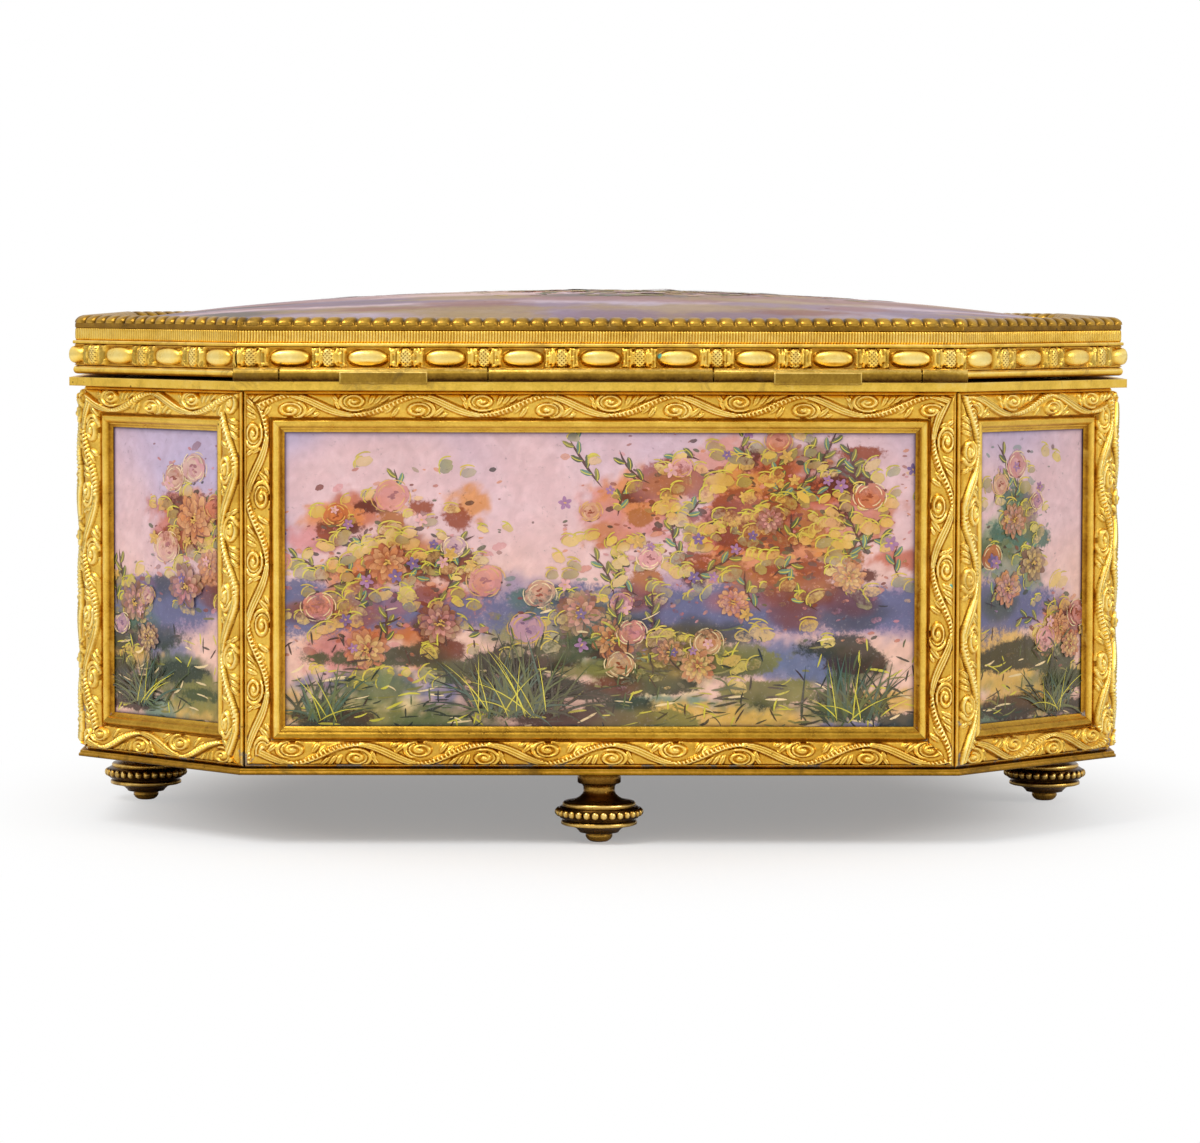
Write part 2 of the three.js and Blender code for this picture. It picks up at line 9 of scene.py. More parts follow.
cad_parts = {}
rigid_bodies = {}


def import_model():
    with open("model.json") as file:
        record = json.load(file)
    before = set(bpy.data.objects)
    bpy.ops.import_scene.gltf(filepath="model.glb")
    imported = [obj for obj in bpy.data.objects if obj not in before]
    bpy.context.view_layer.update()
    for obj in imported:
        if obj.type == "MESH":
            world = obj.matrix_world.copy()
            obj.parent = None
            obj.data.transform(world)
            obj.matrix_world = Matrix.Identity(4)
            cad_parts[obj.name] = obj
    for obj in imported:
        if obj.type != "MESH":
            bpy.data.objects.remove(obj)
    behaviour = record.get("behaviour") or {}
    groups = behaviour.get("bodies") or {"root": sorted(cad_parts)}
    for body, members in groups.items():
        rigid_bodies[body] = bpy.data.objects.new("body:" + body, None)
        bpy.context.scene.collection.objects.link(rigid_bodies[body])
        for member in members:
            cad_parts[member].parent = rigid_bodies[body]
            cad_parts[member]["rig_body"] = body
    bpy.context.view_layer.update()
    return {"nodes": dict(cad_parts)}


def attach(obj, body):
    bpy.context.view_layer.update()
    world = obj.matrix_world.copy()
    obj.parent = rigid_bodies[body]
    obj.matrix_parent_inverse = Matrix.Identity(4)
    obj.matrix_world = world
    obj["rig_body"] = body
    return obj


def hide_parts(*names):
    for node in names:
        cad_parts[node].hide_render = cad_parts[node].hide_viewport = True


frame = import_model()
nodes = frame["nodes"]

# Sizes of the solids, in millimetres, as the CAD source names them.
MM = 0.001
BOX_LENGTH, BOX_DEPTH, CORNER_CUT = 250.0, 192.0, 42.0
BASE_TOP, PANEL_HEIGHT, PANEL_INSET = 17.9, 86.5, 3.5
FRAME_WIDTH, FRAME_THICKNESS, MITRE_GAP = 9.6, 2.8, 0.3
GALLERY_INSET, GALLERY_BOTTOM, GALLERY_TOP = 1.6, 109.2, 114.3
REED_INSET, REED_BOTTOM, REED_TOP = 1.6, 115.1, 118.1
BAND_INSET, RIM_BOTTOM, BORDER_BOTTOM, RIM_INNER, RIM_LIP = 1.4, 118.1, 119.8, 4.2, 5.2
SKIN_BACK = 3.3
DOME_INSET, DOME_LEVEL, DOME_RISE, DOME_BOTTOM = 4.5, 119.5, 7.5, 118.1
FOOT_INSET = 12.8
MITRE = math.tan(math.pi / 8)
SIDE_NAMES = ["back", "back_right", "right", "front_right", "front", "front_left", "left", "back_left"]

# Ornament, in millimetres.
VINE_PERIOD = 29.2
GROUND_LEVEL, GROUND_CROWN = 0.42, 0.75
RELIEF_STEP, RELIEF_ROW, MOULDING_STEP, GALLERY_STEP = 0.22, 0.2, 3.0, 0.34
EGG_PITCH = 17.6
LOBE_PITCH, LOBE_INSET, LOBE_LEVEL, LOBE_REACH, LOBE_RISE = 3.6, 2.4, 119.28, 2.05, 1.35
REED_PITCH = 0.66
HATCH_PITCH = 0.95
LEAF_HEIGHT = 0.85
KEYHOLE_LEVEL, PLATE_RADIUS = PANEL_HEIGHT - 3.5, 3.4

# The gallery beside the hinge's stops: their middle, reach and level; how far out it may stand there, how
# high it is filed above their level, and how steeply the filing runs out.
STOP_MIDDLE, STOP_REACH, STOP_LEVEL, FILED_TO, FILED_RISE, FILED_SLOPE = 49.2, 11.0, 110.45, 95.56, 0.75, 0.9

# Light of the room, as shares of white.
ROOM_LEVEL, HORIZON_LEVEL, CEILING_LEVEL = 0.62, 0.70, 1.0
SHADOW_LIFT = 0.30


class Wire:
    """A shader socket that can stand in a sum."""

    def __init__(self, finish, socket):
        self.finish, self.socket = finish, socket

    def maths(self, operation, first, second=0.0):
        return self.finish.node("ShaderNodeMath", {"operation": operation}, {0: first, 1: second})

    def __add__(self, other):
        return self.maths("ADD", self, other)

    def __radd__(self, other):
        return self.maths("ADD", other, self)

    def __sub__(self, other):
        return self.maths("SUBTRACT", self, other)

    def __rsub__(self, other):
        return self.maths("SUBTRACT", other, self)

    def __mul__(self, other):
        return self.maths("MULTIPLY", self, other)

    def __rmul__(self, other):
        return self.maths("MULTIPLY", other, self)

    def __lt__(self, other):
        return self.maths("LESS_THAN", self, other)

    def between(self, low, high):
        """0 below low, 1 above high, smooth in between; turned round where high is below low."""
        return self.finish.node(
            "ShaderNodeMapRange", {"interpolation_type": "SMOOTHSTEP"},
            {"Value": self, "From Min": low, "From Max": high})


class Nodes:
    """A node tree in the making."""

    def __init__(self, tree):
        self.tree = tree

    def node(self, kind, settings=None, inputs=None, output=0):
        made = self.tree.nodes.new(kind)
        for key, value in (settings or {}).items():
            if key == "stops":
                self.lay_stops(made.color_ramp, value)
            else:
                setattr(made, key, value)
        for key, value in (inputs or {}).items():
            self.feed(made.inputs[key], value)
        return Wire(self, made.outputs[output])

    def lay_stops(self, ramp, stops):
        while len(ramp.elements) < len(stops):
            ramp.elements.new(0.5)
        for element, (place, colour) in zip(ramp.elements, stops):
            element.position = place
            element.color = (*colour, 1.0)

    def feed(self, socket, value):
        if isinstance(value, Wire):
            self.tree.links.new(value.socket, socket)
        elif isinstance(value, tuple) and len(socket.default_value) == 4:
            socket.default_value = (*value, 1.0)
        else:
            socket.default_value = value

    def place(self):
        return self.node("ShaderNodeTexCoord", output="Object")

    def attribute(self, name, output="Fac"):
        return self.node("ShaderNodeAttribute", {"attribute_name": name}, output=output)

    def noise(self, scale, detail=3.0, rough=0.55, warp=0.0, where=None):
        return self.node("ShaderNodeTexNoise", None, {
            "Vector": where or self.place(), "Scale": scale, "Detail": detail,
            "Roughness": rough, "Distortion": warp})

    def stretch(self, x, y, z):
        return self.node("ShaderNodeMapping", None, {"Vector": self.place(), "Scale": (x, y, z)})

    def cells(self, scale, output="Distance"):
        return self.node("ShaderNodeTexVoronoi", None, {"Vector": self.place(), "Scale": scale}, output)

    def waves(self, name, pitch):
        """Waves from 0 to 1 along a stored distance."""
        turn = self.attribute(name) * (2 * math.pi / pitch)
        return self.node("ShaderNodeMath", {"operation": "COSINE"}, {0: turn}) * 0.5 + 0.5

    def red_of(self, colour):
        return self.node("ShaderNodeSeparateColor", None, {"Color": colour}, "Red")

    def ramp(self, value, stops):
        return self.node("ShaderNodeValToRGB", {"stops": stops}, {"Fac": value})

    def mix(self, share, first, second, way="MIX"):
        return self.node("ShaderNodeMix", {"data_type": "RGBA", "blend_type": way},
                         {0: share, 6: first, 7: second}, 2)

    def bump(self, height, distance, under=None):
        inputs = {"Height": height, "Distance": distance}
        if under is not None:
            inputs["Normal"] = under
        return self.node("ShaderNodeBump", None, inputs)


class Finish(Nodes):
    """A material in the making."""

    def __init__(self, name):
        self.material = bpy.data.materials.new(name)
        self.material.use_nodes = True
        super().__init__(self.material.node_tree)
        self.shader = self.tree.nodes["Principled BSDF"]

    def end(self, **sockets):
        for name, value in sockets.items():
            self.feed(self.shader.inputs[name.replace("_", " ")], value)
        return self.material


# Metals and other finishes

def specks(finish, scale, share, size):
    """Small round spots: 1 inside a spot, in the given share of the cells."""
    chosen = finish.red_of(finish.cells(scale, "Color")) < share
    return finish.cells(scale).between(size, size * 0.5) * chosen


def spread(tones):
    """Ramp stops from the hollows, painted dark as shade, to the crests, painted light as highlight."""
    return list(zip((0.08, 0.36, 0.66, 0.95), tones))


def brass(name, tones, tarnish, roughness, grain=0.00004, grit=0.25, solder=False, hatch=False):
    """Gilt or rubbed brass: tones run from painted shade in the hollows to painted highlight on the crests;
    some has solder or hatched beads.
    """
    f = Finish(name)
    cloud = f.noise(38.0, 4.0, 0.6, 0.4)
    mottle = f.noise(260.0, 5.0, 0.65, 0.6)
    sand = f.noise(1900.0, 3.0, 0.6)
    # The stored relief tone is partly painted light: low in hollows as painted shade, high on crests as
    # painted highlight.
    height = f.attribute("relief")
    tone = height + (cloud - 0.5) * 0.34 + (mottle - 0.5) * 0.42 + (sand - 0.5) * grit
    colour = f.ramp(tone, spread(tones))
    rubbed = f.noise(95.0, 6.0, 0.7, 1.2).between(0.52, 0.7) * 0.7
    colour = f.mix(rubbed, colour, tarnish)
    pits = specks(f, 330.0, 0.16, 0.11)
    colour = f.mix(pits * 0.85, colour, (0.05, 0.025, 0.01))
    verdigris = specks(f, 150.0, 0.010, 0.13)
    colour = f.mix(verdigris, colour, (0.10, 0.42, 0.34))
    gloss = roughness + (mottle - 0.5) * 0.28 + rubbed * 0.16 + pits * 0.3
    metal = 1.0 - verdigris * 0.9
    if solder:
        colour = f.mix(f.attribute("rubbed"), colour, f.ramp(tone, spread(WORN_TONES)))
        lead = f.attribute("solder") + (f.noise(170.0, 5.0, 0.7, 0.8) - 0.5) * 1.5 + (0.5 - height) * 0.55
        lead = lead.between(0.58, 0.74)
        colour = f.mix(lead * 0.85, colour, f.mix(sand, (0.10, 0.10, 0.11), (0.42, 0.42, 0.43)))
        gloss = gloss + lead * 0.14
    normal = f.bump(sand * 0.6 + mottle * 1.6 - pits * 1.5, grain)
    if hatch:
        rising, falling = f.waves("rising", HATCH_PITCH), f.waves("falling", HATCH_PITCH)
        lines = (rising + falling - rising * falling).between(0.25, 0.8)
        beads = f.attribute("hatched")
        # The hatch grooves take the hollows' darkest tone: painted shade in the grooves.
        colour = f.mix((1.0 - lines) * beads * 0.75, colour, tones[0])
        normal = f.bump(lines * beads, 0.00012, under=normal)
    return f.end(Base_Color=colour, Metallic=metal, Roughness=gloss, Normal=normal)


# Each ramp holds the metal's own colours, stretched to a painted shade at the hollows and a painted
# highlight at the crests.
GOLD_TONES = [(0.20, 0.068, 0.005), (0.60, 0.295, 0.025), (0.91, 0.60, 0.105), (1.0, 0.80, 0.30)]
WORN_TONES = [(0.14, 0.062, 0.008), (0.42, 0.235, 0.025), (0.74, 0.47, 0.070), (0.94, 0.73, 0.22)]
HINGE_TONES = [(0.05, 0.020, 0.003), (0.21, 0.11, 0.014), (0.40, 0.235, 0.032), (0.78, 0.56, 0.16)]
BRONZE_TONES = [(0.035, 0.014, 0.003), (0.19, 0.09, 0.014), (0.54, 0.31, 0.055), (0.92, 0.66, 0.22)]
RIM_TONES = [(0.06, 0.028, 0.004), (0.28, 0.143, 0.018), (0.54, 0.31, 0.045), (0.80, 0.53, 0.14)]
FLANGE_TONES = [(0.18, 0.075, 0.008), (0.50, 0.28, 0.025), (0.90, 0.58, 0.085), (0.98, 0.76, 0.26)]
# The base plate's brass is darkened as painted shade, for the low edge under the box.
SHADED_BASE_TONES = [(0.04, 0.017, 0.002), (0.17, 0.081, 0.006), (0.37, 0.186, 0.011), (0.66, 0.40, 0.075)]

relief_gold = brass("relief gilding", GOLD_TONES, (0.62, 0.36, 0.06), 0.31, 0.00007, solder=True)
band_gold = brass("gilding of the reeds", GOLD_TONES, (0.55, 0.33, 0.07), 0.32)
gallery_gold = brass("gilding of the eggs", GOLD_TONES, (0.55, 0.33, 0.07), 0.30, hatch=True)
rim_gold = brass("gilding of the lid's rim", RIM_TONES, (0.20, 0.12, 0.03), 0.32)
flange_gold = brass("gilding of the flange", FLANGE_TONES, (0.36, 0.21, 0.05), 0.35)
hinge_brass = brass("hinge brass", HINGE_TONES, (0.15, 0.09, 0.025), 0.36, grit=0.4)
shaded_base_brass = brass("brass of the base", SHADED_BASE_TONES, (0.13, 0.07, 0.015), 0.38, grit=0.4)
foot_bronze = brass("foot bronze", BRONZE_TONES, (0.16, 0.08, 0.02), 0.28)


def lock_steel():
    f = Finish("filed steel")
    files = f.noise(420.0, 4.0, 0.6, where=f.stretch(0.12, 1.0, 1.0))
    rust = f.noise(120.0, 5.0, 0.7, 0.8).between(0.56, 0.72)
    colour = f.ramp(files, [(0.25, (0.24, 0.235, 0.225)), (0.7, (0.56, 0.55, 0.52))])
    colour = f.mix(rust * 0.6, colour, (0.16, 0.085, 0.045))
    return f.end(Base_Color=colour, Metallic=0.9, Roughness=0.36 + files * 0.2 + rust * 0.2,
                 Normal=f.bump(files, 0.00003))


def thin_board():
    f = Finish("thin board")
    rings = f.noise(60.0, 5.0, 0.6, 1.5, where=f.stretch(0.1, 1.0, 1.0))
    fibre = f.noise(900.0, 4.0, 0.6, where=f.stretch(0.06, 1.0, 1.0))
    colour = f.ramp(rings * 0.7 + fibre * 0.3, [
        (0.25, (0.20, 0.11, 0.05)), (0.5, (0.38, 0.24, 0.12)), (0.75, (0.52, 0.36, 0.20))])
    return f.end(Base_Color=colour, Roughness=0.55 + fibre * 0.25, Normal=f.bump(fibre, 0.00005))


def velvet():
    f = Finish("short velvet")
    crushed = f.noise(55.0, 4.0, 0.6, 1.0)
    pile = f.noise(2600.0, 2.0, 0.6)
    tone = 0.22 + crushed * 0.28 + pile * 0.38
    colour = f.ramp(tone, [
        (0.3, (0.16, 0.035, 0.060)), (0.55, (0.33, 0.085, 0.125)), (0.8, (0.52, 0.19, 0.235))])
    f.shader.inputs["Sheen Weight"].default_value = 0.5
    f.shader.inputs["Sheen Roughness"].default_value = 0.4
    return f.end(Base_Color=colour, Roughness=0.75 + pile * 0.2,
                 Normal=f.bump(pile + crushed * 1.2, 0.00008))


def painted_enamel(name, gloss, depth):
    """Enamel under glaze: wet washes, sponged pigment broken up into grains, and small fired pits; depth
    darkens it all as a painted shade.
    """
    f = Finish(name)
    wash = f.noise(210.0, 5.0, 0.65, 0.8)
    dust = f.noise(1500.0, 3.0, 0.7)
    grains = f.noise(1050.0, 5.0, 0.72) * 0.7 + f.noise(330.0, 3.0, 0.6, 0.5) * 0.3
    sponged = (grains + f.attribute("stain", "Alpha") * 0.50).between(0.56, 0.80)
    colour = f.mix(sponged * 0.9, f.attribute("paint", "Color"), f.attribute("stain", "Color"))
    colour = f.mix(wash.between(0.35, 0.62) * 0.34, colour, (0.78, 0.68, 0.68), "MULTIPLY")
    # A painted shade: the whole colour darkened by the share given as depth.
    colour = f.mix(depth, colour, (0.5, 0.45, 0.42), "MULTIPLY")
    colour = f.mix(dust.between(0.56, 0.75) * 0.10, colour, (0.95, 0.86, 0.84))
    pits = specks(f, 95.0, 0.10, 0.075) + specks(f, 260.0, 0.05, 0.10)
    colour = f.mix(pits * 0.75, colour, (0.16, 0.09, 0.08))
    f.shader.inputs["Coat Weight"].default_value = 0.3 * gloss
    f.shader.inputs["Coat Roughness"].default_value = 0.05
    f.shader.inputs["Specular IOR Level"].default_value = gloss
    return f.end(Base_Color=colour, Roughness=0.26 + dust * 0.08 + pits * 0.3,
                 Normal=f.bump(wash * 0.6 - pits * 2.0, 0.00005))


# Shapes

def octagon(inset):
    x, y = BOX_LENGTH / 2 - inset, BOX_DEPTH / 2 - inset
    cut = CORNER_CUT - inset * (2 - math.sqrt(2))
    return [(cut - x, -y), (x - cut, -y), (x, cut - y), (x, y - cut),
            (x - cut, y), (cut - x, y), (-x, y - cut), (-x, cut - y)]


def sides(inset):
    """Middle, length and turn of the octagon's eight sides, the back first."""
    corners = octagon(inset)
    for index, (x, y) in enumerate(corners):
        next_x, next_y = corners[(index + 1) % 8]
        yield (x + next_x) / 2, (y + next_y) / 2, math.hypot(next_x - x, next_y - y), index * math.pi / 4


def coordinates(mesh):
    co = np.empty(len(mesh.vertices) * 3, np.float32)
    mesh.vertices.foreach_get("co", co)
    return co.reshape(-1, 3).astype(np.float64)


def move_to(mesh, co):
    mesh.vertices.foreach_set("co", co.astype(np.float32).ravel())
    mesh.update()


def store(mesh, name, values):
    layer = mesh.attributes.new(name, "FLOAT", "POINT")
    layer.data.foreach_set("value", np.asarray(values, np.float32))


def opened(*meshes):
    """A bmesh that holds the given meshes."""
    bm = bmesh.new()
    for mesh in meshes:
        bm.from_mesh(mesh)
    return bm


def closed(bm, mesh):
    """Writes a bmesh back to a mesh, or to a new mesh of the given name, and frees it."""
    mesh = bpy.data.meshes.new(mesh) if isinstance(mesh, str) else mesh
    bm.to_mesh(mesh)
    bm.free()
    return mesh


def merged(meshes):
    """One mesh in place of several."""
    whole = closed(opened(*meshes), "merged")
    for mesh in meshes:
        bpy.data.meshes.remove(mesh)
    return whole


def weld(bm, distance=1e-5):
    bmesh.ops.remove_doubles(bm, verts=bm.verts, dist=distance)


def cut_off(bm, point, away):
    """Takes off all that lies beyond a point in one direction, and leaves the cut open."""
    everything = bm.verts[:] + bm.edges[:] + bm.faces[:]
    bmesh.ops.bisect_plane(bm, geom=everything, dist=1e-5, plane_co=point, plane_no=away, clear_outer=True)


def grid_mesh(name, columns, rows):
    """A flat grid, with the column and row number of each vertex."""
    bm = bmesh.new()
    bmesh.ops.create_grid(bm, x_segments=columns, y_segments=rows, size=0.5)
    mesh = closed(bm, name)
    co = coordinates(mesh)
    column = np.rint((co[:, 0] + 0.5) * columns).astype(int)
    row = np.rint((co[:, 1] + 0.5) * rows).astype(int)
    return mesh, column, row


def shown(name, data):
    made = bpy.data.objects.new(name, data)
    bpy.context.scene.collection.objects.link(made)
    return made


def piece(name, mesh, material, body, node):
    """A finished mesh, in millimetres, becomes a piece that rides on a body in a solid's place."""
    mesh.transform(Matrix.Scale(MM, 4))
    mesh.update()
    return dress(name, mesh, material, body, node)


def dress(name, mesh, material, body, node):
    made = shown(name, mesh)
    mesh.materials.clear()
    mesh.materials.append(material)
    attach(made, body)
    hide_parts(node)
    return made


def on_side(mesh, x, y, turn):
    """Takes a panel's piece from its own place to a side of the box."""
    mesh.transform(Matrix.Translation((x, y, BASE_TOP)) @ Matrix.Rotation(turn, 4, "Z"))
    return mesh


def dome(distance):
    return np.sqrt(np.clip(1.0 - distance ** 2, 0.0, 1.0))


def smooth(value, low, high):
    t = np.clip((value - low) / (high - low), 0.0, 1.0)
    return t * t * (3 - 2 * t)


# Frames with scrolling relief

def volute(along, across, half_long, half_wide, height, collar_side):
    """A rolled flower: a spiral ridge round a boss, with a collar on one side."""
    x, y = along / half_long, across / half_wide
    radius = np.hypot(x, y)
    angle = np.arctan2(y, x * collar_side)
    ridge = 0.5 + 0.5 * np.cos(2 * math.pi * (radius * 1.6 - angle / (2 * math.pi) + 0.25))
    roll = (0.68 + 0.32 * (1 - radius)) * (0.18 + 0.82 * ridge ** 0.5)
    boss = 0.60 + 0.50 * dome(radius / 0.27)
    flower = np.where(radius < 0.27, np.maximum(roll, boss), roll) * smooth(radius, 1.04, 0.93)
    open_arc = smooth(np.cos(angle - 0.5), -0.35, 0.25)
    collar = 0.66 * dome((radius - 1.28) / 0.2) ** 0.7 * open_arc
    return height * np.maximum(flower, collar)


def leaf(along, across, length, width, lean):
    """A pointed leaf with a crease along its middle."""
    x = along * math.cos(lean) + across * math.sin(lean)
    y = across * math.cos(lean) - along * math.sin(lean)
    reach = np.clip(1 - (x / length) ** 2, 0.0, 1.0)
    side = np.abs(y) / (width * reach + 1e-6)
    crease = 1 - 0.5 * np.exp(-(y / 0.15) ** 2)
    return LEAF_HEIGHT * dome(side) * np.sqrt(reach) * crease


FLOWER_LEAVES = [(-6.6, 4.2, 1.6, 0.55, -0.7), (-5.3, 4.9, 1.7, 0.6, -0.95), (4.6, 4.9, 1.9, 0.62, -0.7),
                 (5.8, 5.6, 1.2, 0.4, -0.5)]
BUD_LEAVES = [(4.0, 2.0, 1.7, 0.6, -1.15), (5.5, 1.9, 1.8, 0.55, -0.95), (7.2, 1.7, 1.7, 0.5, -0.75),
              (-4.4, 1.7, 1.2, 0.5, 0.9), (-3.9, 3.3, 1.3, 0.45, 1.1)]


def vine_relief(along, across):
    """Height of the ornament: a waving vine with a rolled flower in each bend."""
    turn = 2 * math.pi * along / VINE_PERIOD
    turn = turn + 0.12 * np.sin(turn)
    middle = 3.45 - 2.15 * np.cos(turn)
    slope = 2.15 * np.sin(turn) * 2 * math.pi / VINE_PERIOD
    side = (across - middle) / np.sqrt(1 + slope ** 2)
    steep = np.abs(np.sin(turn))
    ribbed = smooth(np.sin(turn), 0.25, -0.1)
    width = 0.36 + 0.40 * steep ** 0.7 + 0.16 * (1 - ribbed) * steep
    ribs = 0.70 + 0.30 * np.cos(2 * math.pi * (along - 0.5 * side) / 0.92)
    ribs = np.where(side < -0.45 * width, 1.0, ribs)
    sheath = 0.80 + 0.20 * np.cos(3 * math.pi * side / width)
    vine = 1.25 * dome(side / width) ** 0.7 * (ribbed * ribs + (1 - ribbed) * sheath)
    undercut = -0.30 * np.exp(-((side + width + 0.16) / 0.15) ** 2)
    height = np.maximum(vine, 0.0)
    near_crest = ((along / VINE_PERIOD + 0.5) % 1.0 - 0.5) * VINE_PERIOD
    near_trough = ((along / VINE_PERIOD) % 1.0 - 0.5) * VINE_PERIOD
    height = np.maximum(height, volute(near_crest, across - 4.45, 2.7, 1.62, 1.3, 1))
    height = np.maximum(height, volute(near_trough, across - 2.55, 2.5, 1.55, 1.25, -1))
    for near, leaves in ((near_crest, FLOWER_LEAVES), (near_trough, BUD_LEAVES)):
        for at, level, length, wide, lean in leaves:
            height = np.maximum(height, leaf(near - at, across - level, length, wide, lean))
    return height + np.where(height < 0.25, undercut, 0.0)


# Sections of a frame: distance in from the outer edge, distance out of the face.
MOULDING = [
    (0.0, -FRAME_THICKNESS), (0.0, -0.9), (0.07, -0.42), (0.25, -0.1), (0.5, 0.06), (0.75, 0.12),
    (1.0, 0.12), (6.25, 0.12), (6.42, 0.1), (6.52, -0.12), (6.66, -0.12), (6.74, 0.3), (6.9, 0.54),
    (7.15, 0.68), (7.5, 0.72), (7.85, 0.66), (8.15, 0.5), (8.4, 0.24), (8.6, -0.06), (8.72, -0.14),
    (8.84, -0.14), (8.95, -0.24), (9.2, -0.5), (9.45, -0.66), (FRAME_WIDTH, -0.7), (FRAME_WIDTH, -0.8),
    (8.1, -0.8), (8.1, -FRAME_THICKNESS),
    (0.0, -FRAME_THICKNESS)]
BAND_START, BAND_END = 0.8, 6.36
# Tone across a strip, from its outer to its inner edge, and how far its inner moulding is rubbed. The tones
# are partly painted light: painted shade in the groove and on the uprights' inner wall, painted highlight on
# the uprights' rounded moulding, and lower tones all along the lower strip as its painted shade.
STRIP_PLACES = [0.3, 1.0, 6.4, 6.55, 6.8, 7.4, 8.3, 8.75, 9.3]
STRIP_TONES = {
    "upper": ([0.5, 0.45, 0.4, 0.02, 0.64, 0.60, 0.54, 0.48, 0.54], 0.50),
    "upright": ([0.6, 0.45, 0.4, 0.02, 0.55, 0.72, 0.50, 0.10, 0.26], 0.10),
    "lower": ([0.5, 0.45, 0.4, 0.02, 0.50, 0.34, 0.32, 0.30, 0.42], 0.85),
}
# Tone of a strip's ornament, and how dark its grooves are painted, a painted shade.
BAND_TONES = {"upper": (0.55, 0.95), "upright": (0.53, 1.25), "lower": (0.45, 0.95)}


def band_section():
    rows = int((BAND_END - BAND_START) / RELIEF_ROW)
    face = [(BAND_START + (BAND_END - BAND_START) * row / rows, GROUND_LEVEL) for row in range(rows + 1)]
    return [(BAND_START, -0.3)] + face + [(BAND_END, -0.3), (BAND_START, -0.3)]


def hollowness(along, across):
    """How far a point of the ornament lies below the points round it: positive in a groove."""
    near = sum(vine_relief(along + u, across + v) for u, v in ((0.3, 0), (-0.3, 0), (0, 0.3), (0, -0.3)))
    return near / 4 - vine_relief(along, across)


def rail_mesh(length, section, step, kind, start=None):
    """One strip of a frame: X along it, -Y out of its face, -Z in from its outer edge."""
    section = np.array(section)
    columns = int(length / step)
    mesh, column, row = grid_mesh("rail", columns, len(section) - 1)
    along = (column / columns - 0.5) * length
    across, out = section[row, 0], section[row, 1]
    tones, rubbed = STRIP_TONES[kind]
    rubbed = rubbed * (across > 6.6)
    if start is None:
        tone = np.interp(across, STRIP_PLACES, tones)
    else:
        band = smooth(across, BAND_START, BAND_START + 0.3) * smooth(across, BAND_END, BAND_END - 0.25)
        relief = band * vine_relief(along + start, across)
        level, depth = BAND_TONES[kind]
        # Painted light: crests a little lighter, grooves and the band's sunken edges darker as painted
        # shade.
        tone = level + 0.10 * relief - depth * hollowness(along + start, across) - 0.2 * (1 - band)
        crown = GROUND_CROWN * dome(2 * (across - BAND_START) / (BAND_END - BAND_START) - 1)
        out = out + (out > 0.3) * (relief + crown - 0.25 * (1 - band))
    if kind == "upright":
        across = across + (across < 0.6) * (np.maximum(-out, 0.0) * MITRE + MITRE_GAP / 2)
    move_to(mesh, np.column_stack([along, -out, -across]))
    store(mesh, "relief", np.clip(tone, 0.0, 1.0))
    store(mesh, "rubbed", rubbed)
    return mitred(mesh, length, kind == "upright")


def mitred(mesh, length, upright):
    """Cuts a strip's ends at 45 degrees, and closes them."""
    bm = opened(mesh)
    weld(bm)
    half = length / 2 - 0.03
    cuts = [((half, 0, 0), (1, 0, -1)), ((-half, 0, 0), (-1, 0, -1))]
    if not upright:
        inner = length / 2 - MITRE_GAP / 2
        cuts += [((inner, 0, 0), (1, MITRE, 0)), ((-inner, 0, 0), (-1, MITRE, 0))]
    for point, away in cuts:
        cut_off(bm, point, away)
        rim = [edge for edge in bm.edges if edge.is_boundary]
        for cap in bmesh.ops.holes_fill(bm, edges=rim, sides=0)["faces"]:
            for edge in cap.edges:
                edge.smooth = False
    bmesh.ops.recalc_face_normals(bm, faces=bm.faces)
    return closed(bm, mesh)


def frame_mesh(length, starts):
    """The four strips of one frame, clockwise from the top, with hollows and solder marked."""
    strips = []
    lifts = [(0, PANEL_HEIGHT), (length / 2, PANEL_HEIGHT / 2), (0, 0), (-length / 2, PANEL_HEIGHT / 2)]
    for index, (x, z) in enumerate(lifts):
        kind = ("upper", "upright", "lower", "upright")[index]
        run = PANEL_HEIGHT if kind == "upright" else length
        turn = Matrix.Translation((x, 0, z)) @ Matrix.Rotation(index * math.pi / 2, 4, "Y")
        for strip in (rail_mesh(run, MOULDING, MOULDING_STEP, kind),
                      rail_mesh(run, band_section(), RELIEF_STEP, kind, starts[index])):
            strip.transform(turn)
            strips.append(strip)
    mesh = merged(strips)
    mesh.shade_smooth()
    mark_solder(mesh, length)
    return mesh


def mark_solder(mesh, length):
    """Stores where solder is likely: in the octagon's corners, along the base and in the lower mitres."""
    x, y, z = coordinates(mesh).T
    from_end = length / 2 - np.abs(x)
    low = smooth(z, 30.0, 2.0)
    seams = smooth(np.minimum(z, from_end), 2.6, 0.5) * (0.24 + 0.36 * low) * smooth(-y, 1.4, 0.6)
    rail = 0.22 * smooth(z, 7.5, 5.0) * (CORNER_CUT / length)
    mitres = smooth(np.abs(from_end - z), 1.3, 0.2) * (0.26 + 0.2 * low)
    store(mesh, "solder", np.maximum(np.maximum(seams, rail), mitres))


# Where the vine starts on the top, right, bottom and left strip, for a side and the one opposite.
VINE_STARTS = [(12.2, 17.1, 17.4, 10.4), (-4.2, 7.2, 20.0, 14.2), (3.0, 22.0, 11.0, 27.0),
               (2.2, 25.5, 8.0, 25.6)]


